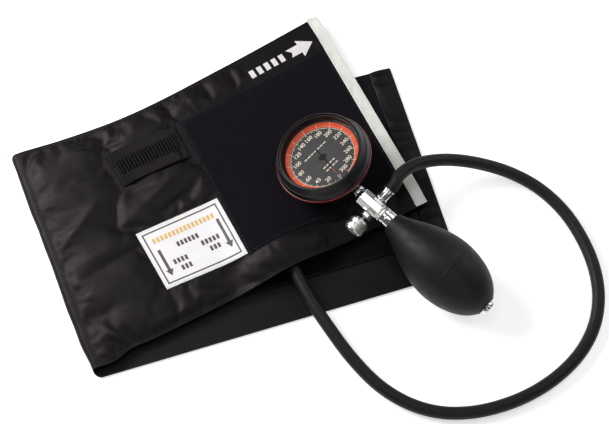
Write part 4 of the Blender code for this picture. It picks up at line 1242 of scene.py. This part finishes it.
def build_dial():
    top = -DIAL_DEPTH
    plate = turned(rounded([(1.0, top - 0.5, 0.0), (DIAL_RADIUS, top - 0.5, 0.0), (DIAL_RADIUS, top, 0.1),
                            (1.0, top, 0.1)]), 96)
    piece = add_piece("dial_face", plate, GAUGE, "dial", "cuff_upper")
    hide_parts("dial_plate")
    band = turned([(DIAL_RADIUS, -6.1), (DIAL_RADIUS, top + 0.3), (DIAL_VIEW_RADIUS, top + 0.3),
                   (DIAL_VIEW_RADIUS, top + 0.42), (22.3, top + 0.7), (DIAL_RADIUS - 0.25, -6.1)], 120)
    piece = add_piece("scale_band", band, GAUGE, "orange", "cuff_upper")
    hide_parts("scale_ring")

    bm = bmesh.new()
    for value in range(0, SCALE_END + 1, 2):
        inner, width = 20.35, 0.13
        if value % 10 == 0:
            inner, width = 19.7, 0.22
        if value % 20 == 0:
            inner, width = 19.2, 0.28
        radial_mark(bm, scale_angle(value), inner, 20.95, width, top, top)
    count = 150
    span = scale_angle(SCALE_END) - scale_angle(0)
    inner, outer = 20.55, 20.8
    for step in range(count):
        a, b = (scale_angle(0) + span * k / count for k in (step, step + 1))
        ends = ((inner, b), (outer, b), (outer, a), (inner, a))
        corners = [polar(radius, angle, top) for radius, angle in ends]
        add_mesh(bm, *box_shape(*corners, (0, 0, 0.045)))
    for value in range(20, SCALE_END + 1, 20):
        numeral(bm, str(value), NUMERAL_SIZE, polar(NUMERAL_RADIUS, scale_angle(value)), top + 0.03)
    zero = scale_angle(0)
    line = 0.22
    for radius in (17.4, 19.0):
        radial_mark(bm, zero, radius, radius + line, 1.6, top, top, PRINT_THICK)
    for offset in (-0.8, 0.58):
        side, width = polar(offset, zero + 90, top), polar(line, zero + 90)
        a, b = polar(17.4, zero) + side, polar(19.2, zero) + side
        add_mesh(bm, *box_shape(a, b, b + width, a + width, (0, 0, PRINT_THICK)))
    for y, half, dashes in ((6.4, 9.4, 7), (-7.0, 5.2, 4), (-9.8, 5.2, 4)):
        step = 2 * half / dashes
        for k in range(dashes):
            x = -half + k * step
            end, high = x + step * 0.72, y + 0.75
            corners = [(x, y, top), (end, y, top), (end, high, top), (x, high, top)]
            add_mesh(bm, *box_shape(*corners, (0, 0, PRINT_THICK)))
    add_piece("dial_marks", bm, GAUGE, "dial_print", "cuff_upper")

    bm = bmesh.new()
    for value in range(0, SCALE_END + 1, 20):
        radial_mark(bm, scale_angle(value), 21.25, 22.3, 0.34, top + 0.42, top + 0.68)
        radial_mark(bm, scale_angle(value), 22.3, 23.5, 0.34, top + 0.68, -6.18)
    add_piece("scale_band_marks", bm, GAUGE, "ring_print", "cuff_upper")

    lens = turned([(0.0, -4.25), (8.0, -4.26), (16.0, -4.32), (24.5, -4.42), (24.9, -4.7), (24.9, -5.3),
                   (0.0, -5.3)], 96)
    piece = add_piece("lens_disc", lens, GAUGE, "lens", "cuff_upper")
    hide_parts("gauge_lens")


def build_pointer():
    """Needle with a red point and a short tail, and the hub's cap, all on the pointer's body."""
    zero = math.radians(scale_angle(0))
    turn = Matrix.Rotation(zero, 4, "Z")
    low, high = -POINTER_DEPTH, -POINTER_DEPTH + 0.28
    bm = bmesh.new()
    outline_prism(bm, [(1.2, -0.42), (11.0, -0.28), (11.0, 0.28), (1.2, 0.42)], low, high)
    outline_prism(bm, [(-7.2, 0.0), (-6.2, -0.85), (-5.2, -0.25), (-1.2, -0.42), (-1.2, 0.42), (-5.2, 0.25),
                       (-6.2, 0.85)], low, high)
    hub, sides = 1.9, 40
    turns = [math.tau * k / sides for k in range(sides)]
    disc = [(hub * math.cos(angle), hub * math.sin(angle)) for angle in turns]
    outline_prism(bm, disc, low, high)
    outline_prism(bm, [(-0.9, -2.7), (0.9, -2.7), (0.7, 2.7), (-0.7, 2.7)], low, high - 0.05)
    bmesh.ops.transform(bm, matrix=turn, verts=bm.verts)
    needle = add_piece("pointer_needle", bm, GAUGE, "black_paint", "pointer")
    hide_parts("pointer")
    bm = bmesh.new()
    outline_prism(bm, [(11.0, -0.26), (18.6, -0.09), (19.0, 0.0), (18.6, 0.09), (11.0, 0.26)], low, high)
    bmesh.ops.transform(bm, matrix=turn, verts=bm.verts)
    add_piece("pointer_point", bm, GAUGE, "red_paint", "pointer")
    cap = turned(rounded([(0.0, high + 0.05, 0.0), (1.35, high + 0.05, 0.1), (1.35, high + 0.75, 0.35),
                          (0.0, high + 0.95, 0.0)]), 40)
    piece = add_piece("pointer_cap", cap, GAUGE, "black_paint", "pointer")
    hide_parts("pointer_hub")


# ---------------------------------------------------------------- valve block

def build_nipple():
    """The bent chrome nipple that joins the gauge to the block, with a collar against the case."""
    spots = [GAUGE @ (Vector((0.0, y, -STEM_DEPTH)) * MM) for y in (-19.5, -26.0, -28.2)]
    spots += [BLOCK @ (Vector((0.0, 0.0, z)) * MM) for z in (-1.2, 0.6, 4.6)]
    line = [spots[0]]
    padded = [spots[0] * 2 - spots[1], *spots, spots[-1] * 2 - spots[-2]]
    for i in range(1, len(spots)):
        line += [catmull_rom(*padded[i - 1:i + 3], step / 5) for step in range(1, 6)]
    nipple = tube("gauge_nipple", line, NIPPLE_RADIUS, 8, "chrome")
    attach(nipple, "cuff_upper")
    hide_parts("gauge_stem")
    collar = turned(rounded([(2.6, -31.0, 0.0), (3.9, -31.0, 0.3), (3.9, -29.2, 0.3), (2.6, -29.2, 0.0)]), 48)
    bmesh.ops.rotate(collar, verts=collar.verts, cent=(0, 0, 0), matrix=Matrix.Rotation(-math.pi / 2, 3, "X"))
    add_piece("nipple_collar", moved(collar, (0, 0, -STEM_DEPTH)), GAUGE, "chrome", "cuff_upper")


def loft(bm, sections, sides, turn=0.0):
    """A closed bar through regular polygons, each (height, radius)."""
    rings = []
    for height, radius in sections:
        ring = []
        for k in range(sides):
            angle = turn + math.tau * k / sides
            ring.append(bm.verts.new((radius * math.cos(angle), radius * math.sin(angle), height)))
        rings.append(ring)
    for a, b in zip(rings, rings[1:]):
        for k in range(sides):
            bm.faces.new((a[k - 1], a[k], b[k], b[k - 1]))
    bm.faces.new(rings[0][::-1])
    bm.faces.new(rings[-1])


def soften(piece, width, segments=3):
    """Round a piece's sharp edges."""
    bevel = piece.modifiers.new("soft_edges", "BEVEL")
    bevel.width = width * MM
    bevel.segments = segments
    bevel.limit_method = "ANGLE"
    bevel.angle_limit = math.radians(20)
    bevel.harden_normals = True


def build_block():
    bm = bmesh.new()
    loft(bm, [(0.0, 3.9), (2.6, BLOCK_RADIUS), (17.6, BLOCK_RADIUS), (17.9, BLOCK_RADIUS - 0.7),
              (18.5, BLOCK_RADIUS - 0.7), (18.8, BLOCK_RADIUS), (BLOCK_LENGTH, BLOCK_RADIUS)], 8, math.pi / 8)
    block = add_piece("valve_body", bm, BLOCK, "chrome", "cuff_upper", 25)
    soften(block, 0.28)
    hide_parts("valve_block")
    collar = turned(rounded([
        (0.7, 37.0, 0.0), (1.6, 30.2, 0.0), (1.6, 15.6, 0.0), (3.0, 15.6, 0.0), (3.0, 20.3, 0.0),
        (5.75, 20.3, 0.35), (5.75, 22.4, 0.2), (5.35, 22.6, 0.1), (5.35, 23.0, 0.1),
        (5.75, 23.2, 0.2), (5.75, 27.0, 0.4),
        (4.0, 27.0, 0.0), (4.2, 33.0, 0.0), (3.6, 37.0, 0.0)], 3), 80)
    piece = add_piece("bulb_collar", collar, BLOCK, "chrome", "cuff_upper", 30)
    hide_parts("bulb_connector")
    barb = turned(rounded([
        (0.0, 2.8, 0.0), (2.0, 2.8, 0.0), (2.0, 5.9, 0.0), (4.5, 5.9, 0.25), (4.5, 6.9, 0.25),
        (3.9, 7.0, 0.1), (3.9, 12.9, 0.3), (4.35, 13.0, 0.2), (4.35, BARB_END, 0.2), (1.6, BARB_END, 0.2),
        (1.6, 4.0, 0.0), (0.0, 4.0, 0.0)], 3), 64, "X")
    moved(barb, (0, 0, CROSS_Z))
    piece = add_piece("hose_sleeve", barb, BLOCK, "chrome", "cuff_upper", 30)
    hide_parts("hose_barb")
    bm = bmesh.new()
    loft(bm, [(-8.6, 3.3), (-8.2, 3.7), (-6.4, 3.7), (-5.9, 3.4)], 6)
    bmesh.ops.rotate(bm, verts=bm.verts, cent=(0, 0, 0), matrix=Matrix.Rotation(math.pi / 2, 3, "Y"))
    moved(bm, (0, 0, CROSS_Z))
    nut = add_piece("gland_hex_nut", bm, BLOCK, "satin_chrome", "cuff_upper", 25)
    soften(nut, 0.12, 2)
    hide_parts("gland_nut")


def build_knob():
    """The release knob, with two knurled bands and a plain rim between them."""
    far = -KNOB_NEAR - KNOB_LENGTH
    bands = ((far + 0.9, far + 3.6), (far + 4.7, far + 7.6))

    def knurl(radius, height, angle):
        for low, high in bands:
            if radius > KNOB_RADIUS - 0.9 and low < height < high:
                return radius + KNURL_DEPTH * (abs(math.sin(angle * KNURL_TEETH / 2)) - 0.5)
        return radius

    edge = KNOB_RADIUS
    corners = [(0.0, far + 0.5, 0.0), (3.6, far + 0.5, 0.2), (3.9, far, 0.2), (edge - 0.6, far, 0.4)]
    for low, high in bands:
        corners += [(edge - 0.5, low - 0.15, 0.0), (edge, low + 0.2, 0.0), (edge, (low + high) / 2, 0.0),
                    (edge, high - 0.2, 0.0), (edge - 0.5, high + 0.15, 0.0)]
    corners += [(edge - 0.8, -KNOB_NEAR - 1.2, 0.2), (edge - 1.6, -KNOB_NEAR, 0.4), (1.6, -KNOB_NEAR, 0.2),
                (1.6, -KNOB_NEAR - 6.9, 0.0), (0.0, -KNOB_NEAR - 6.9, 0.0)]
    grip = turned(rounded(corners, 2), 192, "X", knurl)
    knob = add_piece("release_knob_grip", moved(grip, (0, 0, CROSS_Z)), BLOCK, "satin_chrome", "release_knob",
                     35)
    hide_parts("release_knob")


def bulb_radius(share):
    """Outer radius of the bulb at a share of its length: a slow swell from the neck, then a blunt end."""
    if share < BULB_BELLY:
        swell = math.sin(math.pi / 2 * share / BULB_BELLY) ** 1.15
        return BULB_NECK + (BULB_RADIUS - BULB_NECK) * swell
    fall = (share - BULB_BELLY) / (BULB_TIP - BULB_BELLY)
    return max(BULB_RADIUS * math.sqrt(1 - fall * fall), BULB_NECK)


def build_bulb():
    """The hollow bulb, with a rolled neck and the faint ridge that its mould leaves round it."""
    steps = 90
    outer = [(BULB_NECK - 0.5, BULB_START)]
    for i in range(steps + 1):
        share = math.sin(math.pi / 2 * i / steps)
        radius = bulb_radius(share)
        radius += NECK_BEAD * math.exp(-((share - 0.02) / 0.014) ** 2)
        radius += RIDGE_HEIGHT * math.exp(-((share - BULB_RIDGE) / 0.004) ** 2)
        outer.append((radius, BULB_START + BULB_GAP + (BULB_LENGTH - BULB_GAP) * share))
    for share in (0.594, 0.597, 0.60, 0.603, 0.606):
        outer.append((bulb_radius(share) + RIDGE_HEIGHT * math.exp(-((share - BULB_RIDGE) / 0.003) ** 2),
                      BULB_START + BULB_GAP + (BULB_LENGTH - BULB_GAP) * share))
    outer.sort(key=lambda spot: spot[1])
    inner = [(max(radius - BULB_WALL, BULB_BORE), height) for radius, height in outer[2:-1:3]]
    inner = [(BULB_BORE, BULB_START), *inner, (BULB_BORE, outer[-1][1])]
    bulb = turned(outer + inner[::-1], 120)
    piece = add_piece("rubber_bulb", bulb, BLOCK, "rubber", "cuff_upper", 50)
    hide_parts("bulb")


def build_inlet_valve():
    end = BULB_START + BULB_LENGTH
    profile = rounded([
        (0.8, end - 10.0, 0.0), (4.2, end - 10.0, 0.2), (4.2, end + 0.3, 0.0), (5.1, end + 0.3, 0.2),
        (5.1, end + 1.5, 0.4), (4.4, end + 2.9, 0.4), (2.5, end + 2.9, 0.2), (2.5, end + 1.4, 0.0),
        (0.7, end + 1.4, 0.1), (0.7, end - 1.0, 0.0), (1.6, end - 2.0, 0.0), (1.6, end - 8.8, 0.0),
        (0.8, end - 9.4, 0.0)], 3)

    def slotted(radius, height, angle):
        notch = max(0.0, math.cos(angle * 4)) ** 6
        return radius - 0.45 * notch if radius > 4.0 and height > end + 1.0 else radius

    valve = turned(profile, 96, "Z", slotted)
    piece = add_piece("inlet_valve_body", valve, BLOCK, "chrome", "cuff_upper", 30)
    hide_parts("inlet_valve")


# ---------------------------------------------------------------- stage

def build_stage():
    """A plain pale floor that glows a little, as a lit sheet does, and soft studio light."""
    mesh = bpy.data.meshes.new("floor")
    half = FLOOR_HALF
    corners = [(-half, -half, 0), (half, -half, 0), (half, half, 0), (-half, half, 0)]
    mesh.from_pydata(corners, [], [(0, 1, 2, 3)])
    floor = bpy.data.objects.new("floor", mesh)
    floor.location.z = FLOOR_Z
    bpy.context.scene.collection.objects.link(floor)
    pale = Look("floor_paint", (0.90, 0.90, 0.90), 0.85, Specular_IOR_Level=0.1)
    pale.tint(pale.ranged(pale.noise(300.0, 2.0), 0.0, 1.0), (0.92, 0.92, 0.92))
    pale.set("Emission Color", (1.0, 1.0, 1.0, 1.0))
    pale.set("Emission Strength", FLOOR_GLOW)
    mesh.materials.append(pale.material)

    world = bpy.data.worlds.new("studio")
    world.use_nodes = True
    background = world.node_tree.nodes["Background"]
    background.inputs["Color"].default_value = (1.0, 1.0, 1.0, 1.0)
    background.inputs["Strength"].default_value = WORLD_LIGHT
    bpy.context.scene.world = world
    centre = cuff_point(TARGET)
    for name, place, size, power in LIGHTS:
        light = bpy.data.lights.new(name, "AREA")
        light.energy = power
        light.size = size
        lamp = bpy.data.objects.new(name, light)
        lamp.location = centre + Vector(place)
        lamp.rotation_euler = (centre - lamp.location).to_track_quat("-Z", "Y").to_euler()
        bpy.context.scene.collection.objects.link(lamp)


def build_camera():
    data = bpy.data.cameras.new("camera")
    data.lens = 85.0
    data.sensor_width = 36.0
    camera = bpy.data.objects.new("camera", data)
    target = cuff_point(TARGET)
    azimuth, elevation = math.radians(AZIMUTH), math.radians(ELEVATION)
    away = Vector((math.sin(azimuth), math.cos(azimuth), 0.0))
    camera.location = target + DISTANCE * (Vector((0, 0, math.sin(elevation))) - away * math.cos(elevation))
    camera.rotation_euler = (target - camera.location).to_track_quat("-Z", "Y").to_euler()
    bpy.context.scene.collection.objects.link(camera)
    bpy.context.scene.camera = camera


def finish_cad_nodes():
    """Give every part of the frame that still shows its own finish."""
    looks = {
        "port_spigot": "port", "port_stem": "port", "release_spindle": "steel", "outlet_ball": "steel",
        "inlet_ball": "steel", "inlet_filter": "steel", "pointer_arbor": "steel", "hairspring": "steel",
        "sector_shaft": "steel", "push_rod": "steel", "rocker_shaft": "steel", "rocker_lever": "steel",
    }
    for name, node in frame["nodes"].items():
        look = MATERIALS[looks.get(name, "brass")]
        node.data.materials.clear()
        node.data.materials.append(look)


def main():
    build_camera()
    build_hose()
    cloth = build_cuff_cloth()
    tree = surface_of(cloth)
    panel = build_loop_panel(tree)
    hook = build_hook_panel()
    hem = build_hem_band()
    strip = build_index_strip(tree)
    label = build_label(tree)
    loop = build_clip_loop(tree)
    build_bladder()
    trees = [surface_of(piece) for piece in (panel, label, loop, strip, hem, hook)]
    build_stitching(tree, *trees)
    build_label_print(trees[1])
    build_index_print(tree)
    build_gauge_case()
    build_dial()
    build_pointer()
    build_nipple()
    build_block()
    build_knob()
    build_bulb()
    build_inlet_valve()
    finish_cad_nodes()
    build_stage()
    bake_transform(cloth)
    bpy.context.scene.view_settings.view_transform = "Standard"


main()
